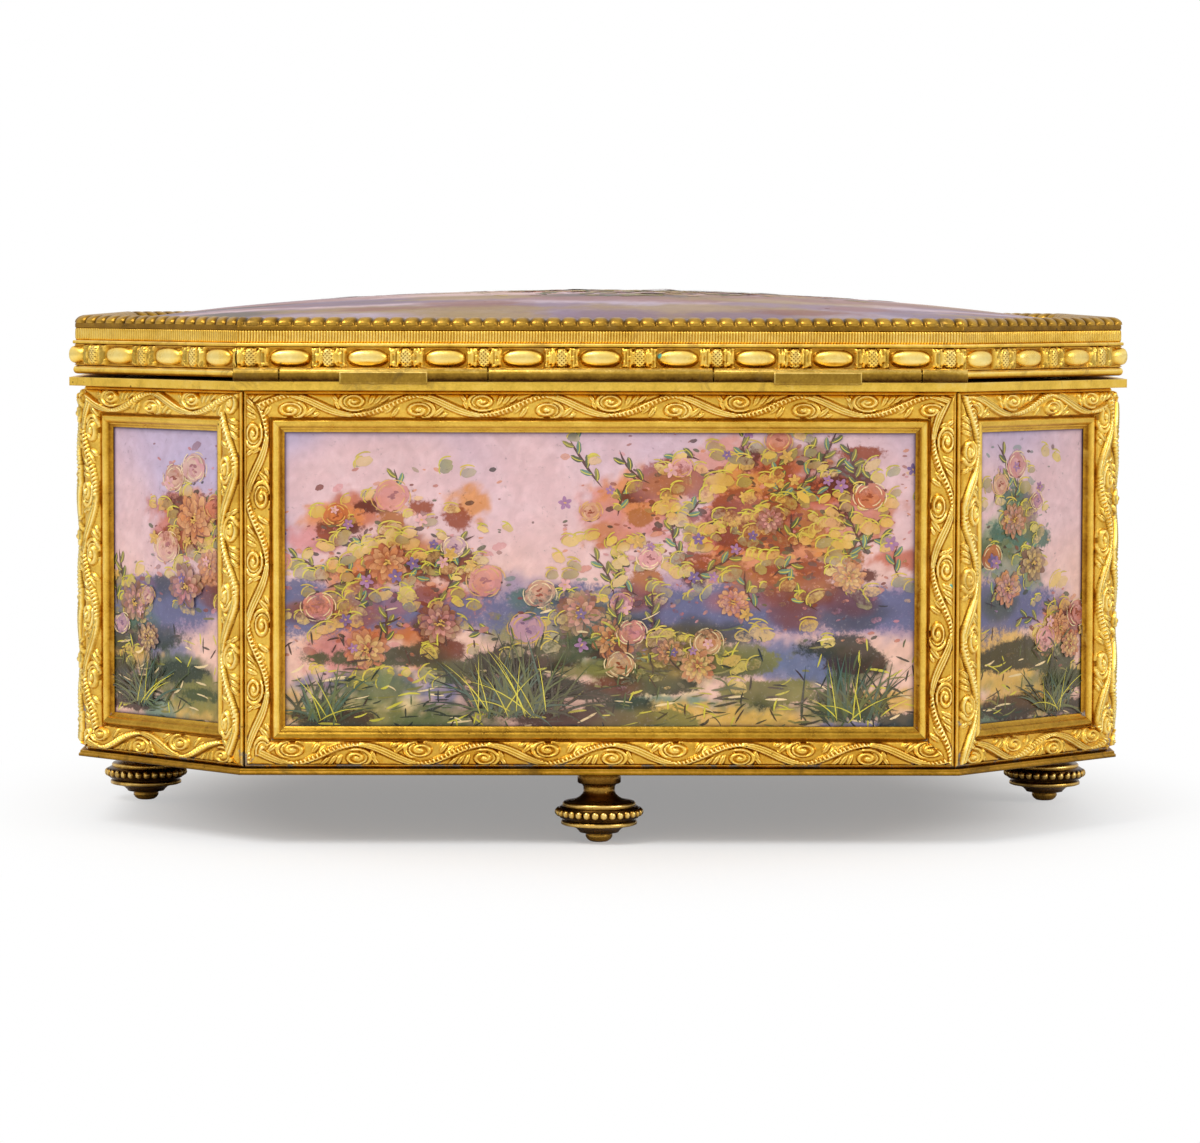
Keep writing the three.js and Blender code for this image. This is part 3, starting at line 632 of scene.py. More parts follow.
def seat_escutcheon(mesh):
    """Sinks the ornament under the key escutcheon, painted darkest as the shade in a hole, and lowers it
    round about.
    """
    co = coordinates(mesh)
    reach = np.hypot(co[:, 0], co[:, 2] - KEYHOLE_LEVEL)
    y = np.maximum(co[:, 1], -1.0 - 1.4 * smooth(reach, 3.9, 6.5))
    sunk = np.select([y < -0.15, y < 0.0, y < 1.0], [2.0, 2.6, 2.3], y)
    co[:, 1] = np.where(reach < PLATE_RADIUS, sunk, y)
    move_to(mesh, co)
    layer, tones = mesh.attributes["relief"].data, np.empty(len(co), np.float32)
    layer.foreach_get("value", tones)
    # Painted shade: the sunk ornament takes the darkest tone.
    tones[reach < PLATE_RADIUS] = 0.0
    layer.foreach_set("value", tones)


def add_frames():
    shapes = []
    for index, (x, y, length, turn) in enumerate(sides(PANEL_INSET)):
        if index < 4:
            shapes.append(frame_mesh(length, VINE_STARTS[index]))
        side = SIDE_NAMES[index]
        mesh = shapes[index % 4].copy()
        if side == "front":
            seat_escutcheon(mesh)
        on_side(mesh, x, y, turn)
        piece(f"relief_frame_{side}", mesh, relief_gold, "base", f"frame_{side}")


# Mouldings round the lid

def ring_mesh(name, section, step, shape, marks=None):
    """A moulding round the octagon; shape says how far each point is pushed, and may leave marks."""
    section = np.array(section)
    inset, level, push_in, push_up = section.T
    spans = np.array([length for _, _, length, _ in sides(section[0, 0])])
    counts = np.maximum(8, np.rint(spans / step)).astype(int)
    starts = np.concatenate([[0], np.cumsum(counts)])
    mesh, column, row = grid_mesh(name, int(counts.sum()), len(section) - 1)
    side = np.clip(np.searchsorted(starts, column, side="right") - 1, 0, 7)
    share = (column - starts[side]) / counts[side]
    run = np.concatenate([[0], np.cumsum(spans)])[side] + share * spans[side] - spans[0] / 2
    height = shape(run, row)
    depth = inset[row] - height * push_in[row]
    x, y, length, turn = (np.array(values)[side] for values in zip(*sides(0.0)))
    u = (2 * share - 1) * (length / 2 - depth * MITRE)
    move_to(mesh, np.column_stack([
        x - depth * np.sin(turn) + u * np.cos(turn),
        y + depth * np.cos(turn) + u * np.sin(turn),
        level[row] + height * push_up[row]]))
    for mark, values in (marks or {}).items():
        store(mesh, mark, values)
    bm = opened(mesh)
    weld(bm)
    bmesh.ops.recalc_face_normals(bm, faces=bm.faces)
    closed(bm, mesh).shade_smooth()
    return mesh


def faced_section(inset, bottom, top, rows):
    """A band's section: a face of many rows, then the back; with the way each point is pushed."""
    face = [(inset, bottom + (top - bottom) * row / rows, 1.0, 0.0) for row in range(rows + 1)]
    return face + [(SKIN_BACK, top, 0.0, 0.0), (SKIN_BACK, bottom, 0.0, 0.0), (inset, bottom, 1.0, 0.0)]


def egg_relief(run, level):
    """Plump eggs; between them a bead between two smooth shoulders and two pairs of thin discs."""
    between = beside_bead(run)
    from_egg = np.abs((EGG_PITCH / 2 - np.abs(between)) / 4.6)
    egg = 1.65 * dome((from_egg ** 2.4 + np.abs(level / 2.05) ** 2.2) ** 0.5)
    bead = 1.45 * dome((np.abs(between / 1.5) ** 2.4 + np.abs(level / 2.45) ** 3.0) ** 0.5) ** 0.6
    height = np.maximum(egg ** 0.8 * 1.1, bead)
    for at, rise, half in ((1.8, 1.15, 0.34), (2.62, 1.35, 0.3), (3.38, 1.2, 0.3)):
        bow = at + 0.22 * (level / 2.0) ** 2
        disc = rise * dome((np.abs(between) - bow) / half) ** 0.6 * dome(level / 2.3) ** 0.4
        height = np.maximum(height, disc)
    return height


def beside_bead(run):
    """Distance along a band from the nearest hatched bead."""
    return run % EGG_PITCH - EGG_PITCH / 2


def file_for_stops(mesh):
    """Files the back of the gallery flat where it meets the hinge's stops with the lid wide open."""
    co = coordinates(mesh)
    x, y, z = co.T
    beside = (np.abs(np.abs(x) - STOP_MIDDLE) < STOP_REACH) & (y < 0) & (z < STOP_LEVEL + FILED_RISE)
    limit = -FILED_TO - FILED_SLOPE * np.maximum(z - STOP_LEVEL, 0.0)
    co[:, 1] = np.where(beside, np.maximum(y, limit), y)
    move_to(mesh, co)


def add_egg_gallery():
    rows = 24
    section = faced_section(GALLERY_INSET, GALLERY_BOTTOM, GALLERY_TOP, rows)
    middle = (GALLERY_BOTTOM + GALLERY_TOP) / 2
    levels = np.array([level for _, level, _, _ in section]) - middle
    marks = {}

    def shape(run, row):
        inner = (row > 0) & (row < rows)
        fillets = 0.45 * (np.abs(levels[row]) > 2.25) * inner
        between = beside_bead(run)
        marks["rising"], marks["falling"] = between + levels[row], between - levels[row]
        marks["hatched"] = smooth(np.abs(between), 1.5, 1.15) * smooth(np.abs(levels[row]), 2.3, 2.0)
        return np.where(row <= rows, np.maximum(egg_relief(run, levels[row]), fillets), 0.0) * inner

    mesh = ring_mesh("gallery", section, GALLERY_STEP, shape, marks)
    file_for_stops(mesh)
    mark_ring(mesh, GALLERY_INSET, 1.5)
    piece("egg_gallery", mesh, gallery_gold, "lid", "lid_egg_gallery")


def mark_ring(mesh, inset, relief, least=0.26):
    """Stores how far each point stands out of a band, from a hollow to a crest at 1, as a tone: painted
    shade in the hollows, painted highlight on the crests.
    """
    x, y, _ = np.abs(coordinates(mesh).T)
    corner = (BOX_LENGTH / 2 + BOX_DEPTH / 2 - CORNER_CUT) / math.sqrt(2)
    depth = np.minimum(np.minimum(BOX_LENGTH / 2 - x, BOX_DEPTH / 2 - y), corner - (x + y) / math.sqrt(2))
    store(mesh, "relief", np.clip(least + 0.55 * (inset - depth) / relief, 0.0, 1.0))


def add_reeded_band():
    rows = 6
    section = faced_section(REED_INSET, REED_BOTTOM, REED_TOP, rows)

    def shape(run, row):
        share = np.clip(row / rows, 0.0, 1.0)
        reed = (0.5 + 0.5 * np.cos(2 * math.pi * run / REED_PITCH)) ** 0.8
        ends = dome(2 * share - 1) ** 0.35
        return np.where(row < rows, 0.34 * reed * ends - 0.1, 0.0) * (row > 0)

    mesh = ring_mesh("reeds", section, REED_PITCH / 4, shape)
    mark_ring(mesh, REED_INSET, 0.30, 0.40)
    piece("reeded_band", mesh, band_gold, "lid", "lid_reeded_band")


def add_lobed_rim():
    """The lid's rim: a flat band below, rounded lobes across its edge, and a thin lip on the plaque."""
    low = [(BAND_INSET, RIM_BOTTOM, 0, 0), (BAND_INSET, 118.3, 0, 0), (BAND_INSET, 119.0, 0, 0),
           (BAND_INSET + 0.12, 119.12, 0, 0)]
    swell = [(BAND_INSET + LOBE_INSET - LOBE_REACH * math.cos(angle),
              LOBE_LEVEL + LOBE_RISE * math.sin(angle), 0.6 * math.cos(angle), 0.45 * math.sin(angle))
             for angle in (math.pi * step / 10 for step in range(11))]
    close = [(RIM_LIP, BORDER_BOTTOM, 0, 0), (RIM_INNER, BORDER_BOTTOM, 0, 0), (RIM_INNER, RIM_BOTTOM, 0, 0),
             (BAND_INSET, RIM_BOTTOM, 0, 0)]
    marks = {}

    def shape(run, row):
        lobe = dome(1 - np.abs(np.cos(math.pi * run / LOBE_PITCH)) ** 1.4)
        on_lobes = (row >= len(low)) & (row < len(low) + len(swell))
        # Painted shade between the lobes and painted highlight on their crowns.
        marks["relief"] = np.where(on_lobes, 0.08 + 0.50 * lobe ** 2, 0.33)
        return lobe * 1.45 - 0.5

    mesh = ring_mesh("rim", low + swell + close, LOBE_PITCH / 10, shape, marks)
    piece("lobed_rim", mesh, rim_gold, "lid", "lid_top_rim")


# Painted plaques

def pigment(red, green, blue):
    """A paint as seen, 0 to 255, turned to the light values that a shader takes."""
    seen = np.array([red, green, blue]) / 255.0
    return np.where(seen < 0.04045, seen / 12.92, ((seen + 0.055) / 1.055) ** 2.4)


SKY_HIGH, SKY_MIDDLE, SKY_LOW = pigment(188, 172, 200), pigment(224, 188, 190), pigment(236, 192, 172)
HAZE, MAUVE, ROSE = pigment(118, 116, 152), pigment(170, 122, 164), pigment(208, 128, 128)
RUSSET, ORANGE, RUST = pigment(184, 84, 36), pigment(214, 130, 62), pigment(116, 44, 24)
LIME, OCHRE, CREAM = pigment(206, 196, 60), pigment(222, 176, 84), pigment(240, 214, 160)
OLIVE, MOSS, DEEP = pigment(126, 122, 58), pigment(82, 96, 54), pigment(42, 54, 40)
TEAL, SLATE, BARK = pigment(92, 134, 112), pigment(104, 112, 150), pigment(70, 40, 30)
# The last is the colour of the frame's painted shadow along the plaque's edge.
VIOLET, BLOSSOM, EDGE_SHADOW_PAINT = pigment(120, 96, 150), pigment(234, 176, 172), pigment(96, 84, 120)
PLAQUE_LAP, PLAQUE_FRONT, PLAQUE_THICKNESS, PLAQUE_CROWN = 1.2, 1.1, 1.4, 0.4
DOME_HALF_X, DOME_HALF_Y = BOX_LENGTH / 2 - DOME_INSET, BOX_DEPTH / 2 - DOME_INSET
# The sum of the distances along and across at which the octagon cuts its corners.
DOME_REACH = DOME_HALF_X + octagon(DOME_INSET)[3][1]
LATTICE = 64
# How fine the washes are, and where the random draws start, for the sides and for the lid.
SIDE_STEP, LID_STEP, SIDE_SEED, LID_SEED = 0.6, 1.0, 11, 31


def cloud(x, z, scale, seed):
    """Soft noise from 0 to 1, with features of about the given size."""
    total, weight = 0.0, 0.0
    for octave in range(3):
        lattice = np.random.default_rng(seed + octave).random((LATTICE, LATTICE))
        turn, size = 0.6 + 1.1 * octave, 2 ** octave / scale
        u = (x * math.cos(turn) + z * math.sin(turn)) * size + 900.5
        v = (z * math.cos(turn) - x * math.sin(turn)) * size + 900.5
        i, j = np.floor(u).astype(int), np.floor(v).astype(int)
        a, b = smooth(u - i, 0, 1), smooth(v - j, 0, 1)
        low, high = (lattice[i % LATTICE, row] * (1 - a) + lattice[(i + 1) % LATTICE, row] * a
                     for row in (j % LATTICE, (j + 1) % LATTICE))
        total = total + (low * (1 - b) + high * b) / 2 ** octave
        weight += 1 / 2 ** octave
    return total / weight


def blend(first, second, share):
    share = np.asarray(share)[..., None]
    return first * (1 - share) + second * share


class Painting:
    """Washes, sponged pigment and brush strokes on a plaque, in mm from the middle of its lower edge."""

    SEGMENTS = 6

    def __init__(self, half_x, height, step, seed):
        self.half_x, self.height, self.seed = half_x, height, seed
        self.columns, self.rows = int(2 * half_x / step), int(height / step)
        self.random = np.random.default_rng(seed)
        self.washes, self.stains, self.strokes = [], [], []

    def near(self, low, high):
        return self.random.uniform(low, high)

    def one_of(self, *paints):
        return paints[self.random.integers(len(paints))]

    def wash(self, x, z, wide, high, colour, strength=0.9, grain=0.5):
        self.washes.append((x, z, wide, high, colour, strength, grain))

    def stain(self, x, z, wide, high, colour, cover=0.8):
        self.stains.append((x, z, wide, high, colour, cover))

    def lay_ground(self):
        """Works out the washes and the sponged pigment on the plaque's grid."""
        z, x = np.mgrid[0:self.rows + 1, 0:self.columns + 1]
        x, z = (x / self.columns * 2 - 1) * self.half_x, z / self.rows * self.height
        self.paint, self.pigments = self.wash_colours(x, z), self.stain_colours(x, z)

    def wash_colours(self, x, z):
        level = z / self.height
        drift = cloud(x, z, 30.0, self.seed) - 0.5
        colour = blend(SKY_LOW, SKY_MIDDLE, smooth(level + drift * 0.5, 0.3, 0.7))
        colour = blend(colour, SKY_HIGH, smooth(level + drift * 0.9, 0.65, 1.15))
        for number, (at_x, at_z, wide, high, paint, strength, grain) in enumerate(self.washes):
            seed = self.seed * 7 + number
            edge = np.hypot((x - at_x) / wide, (z - at_z) / high)
            edge = edge + (cloud(x, z, 9.0, seed) - 0.5) * 0.7
            edge = edge + (cloud(x, z, 1.8, seed + 50) - 0.5) * grain
            colour = blend(colour, paint, strength * smooth(edge, 1.1, 0.5))
        shade = 1 + (cloud(x, z, 1.4, self.seed + 90) - 0.5) * 0.22
        return np.clip(colour * shade[..., None], 0.0, 1.0) * self.edge_shade(x, z)

    def edge_shade(self, x, z):
        """A painted shadow of the frame: the paint darkens in a thin line along its inner edge."""
        beside = np.minimum(self.half_x - np.abs(x), np.minimum(z, self.height - z)) - PLAQUE_LAP
        return blend(np.ones(3), EDGE_SHADOW_PAINT, 0.8 * smooth(beside, 0.9, 0.0))

    def stain_colours(self, x, z):
        colour, cover = np.zeros((*x.shape, 3)), np.zeros(x.shape)
        for number, (at_x, at_z, wide, high, paint, amount) in enumerate(self.stains):
            seed = self.seed * 13 + number
            edge = np.hypot((x - at_x) / wide, (z - at_z) / high) + cloud(x, z, 7.0, seed) - 0.5
            here = amount * smooth(edge, 1.15, 0.3) * (0.45 + 1.1 * cloud(x, z, 2.2, seed + 70)).clip(0, 1)
            colour = blend(colour, paint, here / (cover * 0.7 + here + 1e-6))
            cover = 1 - (1 - cover) * (1 - here)
        return np.concatenate([colour, cover[..., None]], -1)

    def ground_at(self, x, z):
        """The laid ground's colours and pigments at any points."""
        column = np.rint((x / self.half_x + 1) / 2 * self.columns).astype(int).clip(0, self.columns)
        row = np.rint(z / self.height * self.rows).astype(int).clip(0, self.rows)
        return self.paint[row, column], self.pigments[row, column]

    def stroke(self, x, z, angle, length, width, colour, tip=None, bend=0.0, shape=0.5, body=0.9):
        """A brush mark from a point: shape 0.5 is a dab, 0.2 a line, 2 a blade; body 1 hides the ground."""
        vary = 1 + self.near(-0.12, 0.12)
        tip = colour if tip is None else tip
        self.strokes.append((x, z, angle, length, width, bend, shape, body, *(colour * vary), *(tip * vary)))

    def dab(self, x, z, size, colour, lean=0.0, body=0.9):
        length = size * self.near(0.9, 1.3)
        angle = lean + self.random.normal(0, 0.35)
        self.stroke(x - math.cos(angle) * length / 2, z - math.sin(angle) * length / 2, angle, length,
                    size * self.near(0.42, 0.62), colour, bend=self.random.normal(0, 0.3), body=body)

    def leaf_cluster(self, x, z, size, fill, edge):
        """A few rounded leaves, thinly filled, each with a raised outline round its upper side."""
        turn = self.random.normal(0.1, 0.3)
        for index in range(self.random.integers(1, 4)):
            at_x, at_z = x + self.random.normal(0, size * 0.6), z + self.random.normal(0, size * 0.34)
            wide, high = size * self.near(0.8, 1.25), size * self.near(0.5, 0.68)
            lean = turn + self.random.normal(0, 0.2)
            self.stroke(at_x, at_z, lean, wide, high, fill, blend(fill, edge, 0.35),
                        bend=self.near(-0.4, 0.4), body=self.near(0.5, 0.75))
            start_x, start_z = at_x + 0.04 * wide, at_z - 0.3 * high
            self.stroke(start_x, start_z, lean + 1.75, high * 1.25, 0.30, edge, bend=-1.6, shape=0.2)
            self.stroke(start_x - 0.05 * wide, start_z + high * 0.9, lean + 0.55, wide * 0.95, 0.34, edge,
                        bend=-1.15, shape=0.2)

    def bloom(self, x, z, radius, outer, inner, heart, squash=0.82):
        """A full flower head of four rings of petals, dark at their roots."""
        lean = self.near(0, 1.0)
        rings = [(1.0, 12, outer), (0.80, 11, blend(outer, inner, 0.5)), (0.58, 9, inner), (0.38, 7, outer)]
        for ring, (share, count, tone) in enumerate(rings):
            for index in range(count):
                angle = 2 * math.pi * (index + 0.5 * ring + lean) / count + self.random.normal(0, 0.10)
                start, length = radius * share * 0.25, radius * share * self.near(0.66, 0.84)
                at_x, at_z = x + start * math.cos(angle), z + start * math.sin(angle) * squash
                turn = math.atan2(math.sin(angle) * squash, math.cos(angle))
                pale = blend(tone, CREAM, self.near(0.05, 0.45))
                wide = radius * share * 0.36
                self.stroke(at_x, at_z, turn, length, wide * 1.12, RUST, tone * 0.6, body=0.6)
                self.stroke(at_x, at_z, turn, length * 0.96, wide, tone * 0.55, pale,
                            bend=self.random.normal(0, 0.25), body=0.85)
        for _ in range(12):
            off = self.random.normal(0, radius * 0.09, 2)
            self.dab(x + off[0], z + off[1], radius * 0.11, heart)

    def rose(self, x, z, radius, deep, pale, edge):
        """A loose flower of broad petals that curl round a dark heart, with pale rims."""
        for ring, (reach, count) in enumerate([(0.62, 6), (0.36, 4)]):
            for index in range(count):
                angle = 2 * math.pi * (index + 0.4 * ring) / count + self.random.normal(0, 0.2)
                at_x, at_z = x + radius * reach * math.cos(angle), z + radius * reach * 0.8 * math.sin(angle)
                turn, long = angle + math.pi / 2 - 0.7, radius * (0.95 - 0.3 * ring)
                self.stroke(at_x - long / 2 * math.cos(turn), at_z - long / 2 * math.sin(turn), turn, long,
                            radius * (0.62 - 0.2 * ring), blend(deep, pale, self.near(0.2, 0.8)),
                            blend(deep, pale, self.near(0.0, 0.5)), bend=1.3, body=0.72)
                far = radius * (reach + 0.28)
                self.stroke(x + far * math.cos(angle - 0.4), z + far * 0.8 * math.sin(angle - 0.4),
                            angle + 1.1, radius * 0.62, 0.28, edge, bend=1.1, shape=0.2, body=0.8)
        for _ in range(6):
            off = self.random.normal(0, radius * 0.12, 2)
            self.dab(x + off[0], z + off[1], radius * 0.2, deep * 0.6)

    def small_flower(self, x, z, size, colour):
        turn = self.near(0, 6)
        for index in range(5):
            angle = turn + index * 2 * math.pi / 5
            self.stroke(x, z, angle, size, size * 0.55, colour * 0.8, colour)
        self.dab(x, z, size * 0.42, OCHRE)

    def tuft(self, x, z, spread, length, count):
        """Blades of grass that fan out of one place, dark ones first."""
        for index in range(count):
            share = index / count
            paint = [DEEP * 0.5, DEEP, MOSS * 0.6, DEEP, TEAL * 0.4, MOSS, LIME][min(6, int(share * 6.6))]
            angle = math.pi / 2 + self.random.normal(0, 0.55)
            reach = length * self.near(0.55, 1.1)
            self.stroke(x + self.random.normal(0, spread * 0.35), z + self.near(-1, 1), angle, reach,
                        0.80 if share < 0.85 else 0.32, paint, paint * 1.3,
                        bend=(math.pi / 2 - angle) * -0.8, shape=2.0)

    def sprig(self, x, z, angle, length, bend, greens):
        """A thin branch with leaves on both sides."""
        self.stroke(x, z, angle, length, 0.62, BARK, BARK * 1.3, bend=bend, shape=0.6)
        for index in range(int(length / 2.2)):
            share = (index + 1) / (length / 2.2 + 1)
            turn = angle + bend * share
            at_x = x + length * share * math.cos(angle + bend * share / 2)
            at_z = z + length * share * math.sin(angle + bend * share / 2)
            side = 1 if index % 2 else -1
            paint = greens[self.random.integers(len(greens))]
            self.stroke(at_x, at_z, turn + side * 0.8, 3.0, 1.15, paint * 0.8, paint * 1.1, bend=-side * 0.5)
            self.stroke(at_x, at_z, turn + side * 0.95, 2.9, 0.22, LIME, bend=-side * 0.7, shape=0.2)

    def levels(self, marks):
        """How many strokes lie under each one, so that none shares another's plane."""
        cell = 0.7
        heights = np.zeros((int(2 * self.half_x / cell) + 12, int(self.height / cell) + 12), int)
        levels = np.empty(len(marks), int)
        for index, (x, z) in enumerate(marks):
            i0, i1 = int((x.min() + self.half_x) / cell) + 4, int((x.max() + self.half_x) / cell) + 5
            j0, j1 = int(z.min() / cell) + 4, int(z.max() / cell) + 5
            under = heights[max(i0, 0):i1 + 1, max(j0, 0):j1 + 1]
            levels[index] = under.max() + 1 if under.size else 1
            under[...] = levels[index]
        return levels

    def stroke_mesh(self, surface, corners=False):
        """All the strokes as ribbons of one grid, cut apart and laid on the surface."""
        data = np.array(self.strokes)
        x, z, angle, length, width, bend, shape, _ = data[:, :8].T
        steps = self.SEGMENTS + 1
        t = np.linspace(0, 1, steps)[None, :]
        heading = angle[:, None] + bend[:, None] * t
        step = length[:, None] / self.SEGMENTS
        middle = angle[:, None] + bend[:, None] * (t[:, 1:] - 0.5 / self.SEGMENTS)
        line_x = x[:, None] + np.concatenate([np.zeros((len(x), 1)), np.cumsum(np.cos(middle) * step, 1)], 1)
        line_z = z[:, None] + np.concatenate([np.zeros((len(x), 1)), np.cumsum(np.sin(middle) * step, 1)], 1)
        dab = (4 * t * (1 - t) + 0.02) ** np.minimum(shape, 0.6)[:, None]
        blade = np.minimum(1.0, 4 * t + 0.3) * (1.02 - t) ** 0.8
        half = width[:, None] / 2 * np.where(shape[:, None] > 1, blade, dab)
        inside = np.abs(line_x).max(1) < self.half_x + 2
        inside &= (line_z.min(1) > -2) & (line_z.max(1) < self.height + 2)
        if corners:
            inside &= (np.abs(line_x) + np.abs(line_z - self.height / 2)).max(1) < DOME_REACH - 1
        data, line_x, line_z, half, heading = (a[inside] for a in (data, line_x, line_z, half, heading))
        level = self.levels(list(zip(line_x, line_z)))
        count = len(data)
        mesh, column, row = grid_mesh("strokes", count * steps - 1, 1)
        mark, at = column // steps, column % steps
        ragged = np.random.default_rng(self.seed).uniform(0.82, 1.18, len(mark))
        side = (2 * row - 1) * half[mark, at] * ragged
        px = np.clip(line_x[mark, at] - side * np.sin(heading[mark, at]), -self.half_x, self.half_x)
        pz = np.clip(line_z[mark, at] + side * np.cos(heading[mark, at]), 0.0, self.height)
        share, body = (at / self.SEGMENTS)[:, None], data[mark, 7][:, None]
        under, stain = self.ground_at(px, pz)
        colour = under * (1 - body) + body * (data[mark, 8:11] * (1 - share) + data[mark, 11:14] * share)
        # The strokes take the frame's painted shadow too, as far as they cover the ground.
        colour = colour * blend(np.ones(3), self.edge_shade(px, pz), body[:, 0])
        stain[:, 3] *= 1 - body[:, 0]
        move_to(mesh, surface(px, pz, 0.02 + 0.0035 * level[mark]))
        self.store_paint(mesh, colour, stain)
        bm = opened(mesh)
        links = [face for face in bm.faces if len({mark[vert.index] for vert in face.verts}) > 1]
        bmesh.ops.delete(bm, geom=links, context="FACES_ONLY")
        return closed(bm, mesh)

    def store_paint(self, mesh, paint, stain):
        for name, colours in (("paint", paint), ("stain", stain)):
            layer = mesh.attributes.new(name, "FLOAT_COLOR", "POINT")
            values = np.ones((len(mesh.vertices), 4), np.float32)
            values[:, :colours.shape[1]] = colours
            layer.data.foreach_set("color", values.ravel())

    def base_mesh(self, surface, back_level, corners=False):
        """The plaque itself: a fine grid for the washes, with its rim and back."""
        mesh, column, row = grid_mesh("plaque", self.columns, self.rows)
        x = (column / self.columns * 2 - 1) * self.half_x
        z = row / self.rows * self.height
        move_to(mesh, surface(x, z, 0.0))
        self.store_paint(mesh, self.paint[row, column], self.pigments[row, column])
        bm = opened(mesh)
        if corners:
            for away in ((1, 1, 0), (-1, 1, 0), (-1, -1, 0), (1, -1, 0)):
                cut_off(bm, Vector(away) * DOME_REACH / 2, away)
        rim = [edge for edge in bm.edges if edge.is_boundary]
        walls = bmesh.ops.extrude_edge_only(bm, edges=rim)["geom"]
        back = [vert for vert in walls if isinstance(vert, bmesh.types.BMVert)]
        for vert in back:
            vert.co[2 if corners else 1] = back_level
        bmesh.ops.holes_fill(bm, edges=[edge for edge in bm.edges if edge.is_boundary], sides=0)
        bmesh.ops.recalc_face_normals(bm, faces=bm.faces)
        return closed(bm, mesh)


def paint_garden(p, shrubs, tufts, meadow=0.30):
    """A garden in flower: hazy hills, flowering shrubs and hedges, and a meadow along the bottom."""
    w, h = p.half_x, p.height
    broad = max(1.0, h / 100)
    for _ in range(int(w / 7)):
        x, wide = p.near(-w, w), p.near(12, 26)
        p.wash(x, (meadow + 0.10) * h, wide, p.near(5, 10), blend(HAZE, MAUVE, p.near(0, 0.5)), 0.75, 0.4)
        p.stain(x, (meadow + 0.10) * h, wide, p.near(5, 9), blend(HAZE, SLATE, 0.5) * 0.8, 0.6)
    for _ in range(int(w / 3 * broad)):
        p.wash(p.near(-w, w), p.near(0.0, meadow) * h, p.near(10, 24), p.near(2.5, 6) * broad,
               p.one_of(OCHRE, OLIVE, CREAM, OLIVE, MOSS, SLATE, TEAL, OCHRE), 0.85, 0.8)
    for _ in range(int(w / 3 * broad)):
        p.stain(p.near(-w, w), p.near(0.0, meadow) * h, p.near(6, 20), p.near(1.5, 4) * broad,
                p.one_of(MOSS * 0.6, DEEP * 0.6, OLIVE, DEEP, BARK * 0.7), 0.95)
    for x, z, wide, high, warm in shrubs:
        shrub_ground(p, x, z, wide, high, warm)
    p.lay_ground()
    for x, z, wide, high, warm in shrubs:
        shrub_strokes(p, x, z, wide, high, warm)
    for _ in range(int(w * 3.6 * broad)):
        x, z = p.near(-w, w), abs(p.random.normal(0, meadow * 0.5)) * h
        p.stroke(x, z, p.random.normal(0, 0.2), p.near(1.5, 6), p.near(0.25, 0.6),
                 p.one_of(MOSS, OLIVE, DEEP * 0.5, LIME, DEEP * 0.5, CREAM),
                 bend=p.random.normal(0, 0.5), shape=0.4, body=0.85)
    for _ in range(int(w * 1.6 * broad)):
        p.stroke(p.near(-w, w), p.near(0, meadow) * h, math.pi / 2 + p.random.normal(0, 0.5), p.near(1.5, 4),
                 0.4, p.one_of(DEEP * 0.5, MOSS, LIME, BARK * 0.6), bend=p.random.normal(0, 0.3), shape=0.4,
                 body=0.9)
    for x, z, spread, length, count in tufts:
        p.tuft(x, z, spread, length, count)


WARM = [RUSSET, ORANGE, RUSSET, RUST, ORANGE, ROSE]
COOL = [TEAL, OLIVE, MOSS, MAUVE, TEAL, OCHRE]
# Places of the large flowers on a shrub, as shares of its half sizes.
FLOWER_HEADS = [(0.05, 0.1), (-0.55, -0.3), (0.6, 0.3), (0.5, -0.45), (-0.4, 0.55), (0.1, 0.75),
                (-0.15, -0.7), (0.9, -0.05), (-0.85, 0.15)]


def shrub_ground(p, x, z, wide, high, warm):
    """The body of a flowering shrub: clear washes with darker pigment sponged over them."""
    paints = WARM if warm else COOL
    for _ in range(int(wide * high / 34)):
        at = np.clip(p.random.normal(0, 0.38, 2), -0.75, 0.75)
        p.wash(x + at[0] * wide, z + at[1] * high, p.near(5, 12), p.near(3.5, 7),
               blend(p.one_of(*paints), p.one_of(CREAM, BLOSSOM, OCHRE), p.near(0.0, 0.32)), 0.85, 0.9)
    for _ in range(int(wide * high / 30)):
        at = np.clip(p.random.normal(0, 0.34, 2), -0.65, 0.65)
        p.stain(x + at[0] * wide, z + at[1] * high, p.near(3, 9), p.near(2, 5),
                p.one_of(*paints, RUST if warm else DEEP) * 0.6, 0.95)
    for _ in range(int(wide / 5)):
        p.stain(x + p.near(-0.8, 0.8) * wide, z - high * p.near(0.55, 1.0), p.near(5, 10), p.near(2, 4),
                p.one_of(MOSS * 0.6, DEEP * 0.7, RUST * 0.8), 0.95)


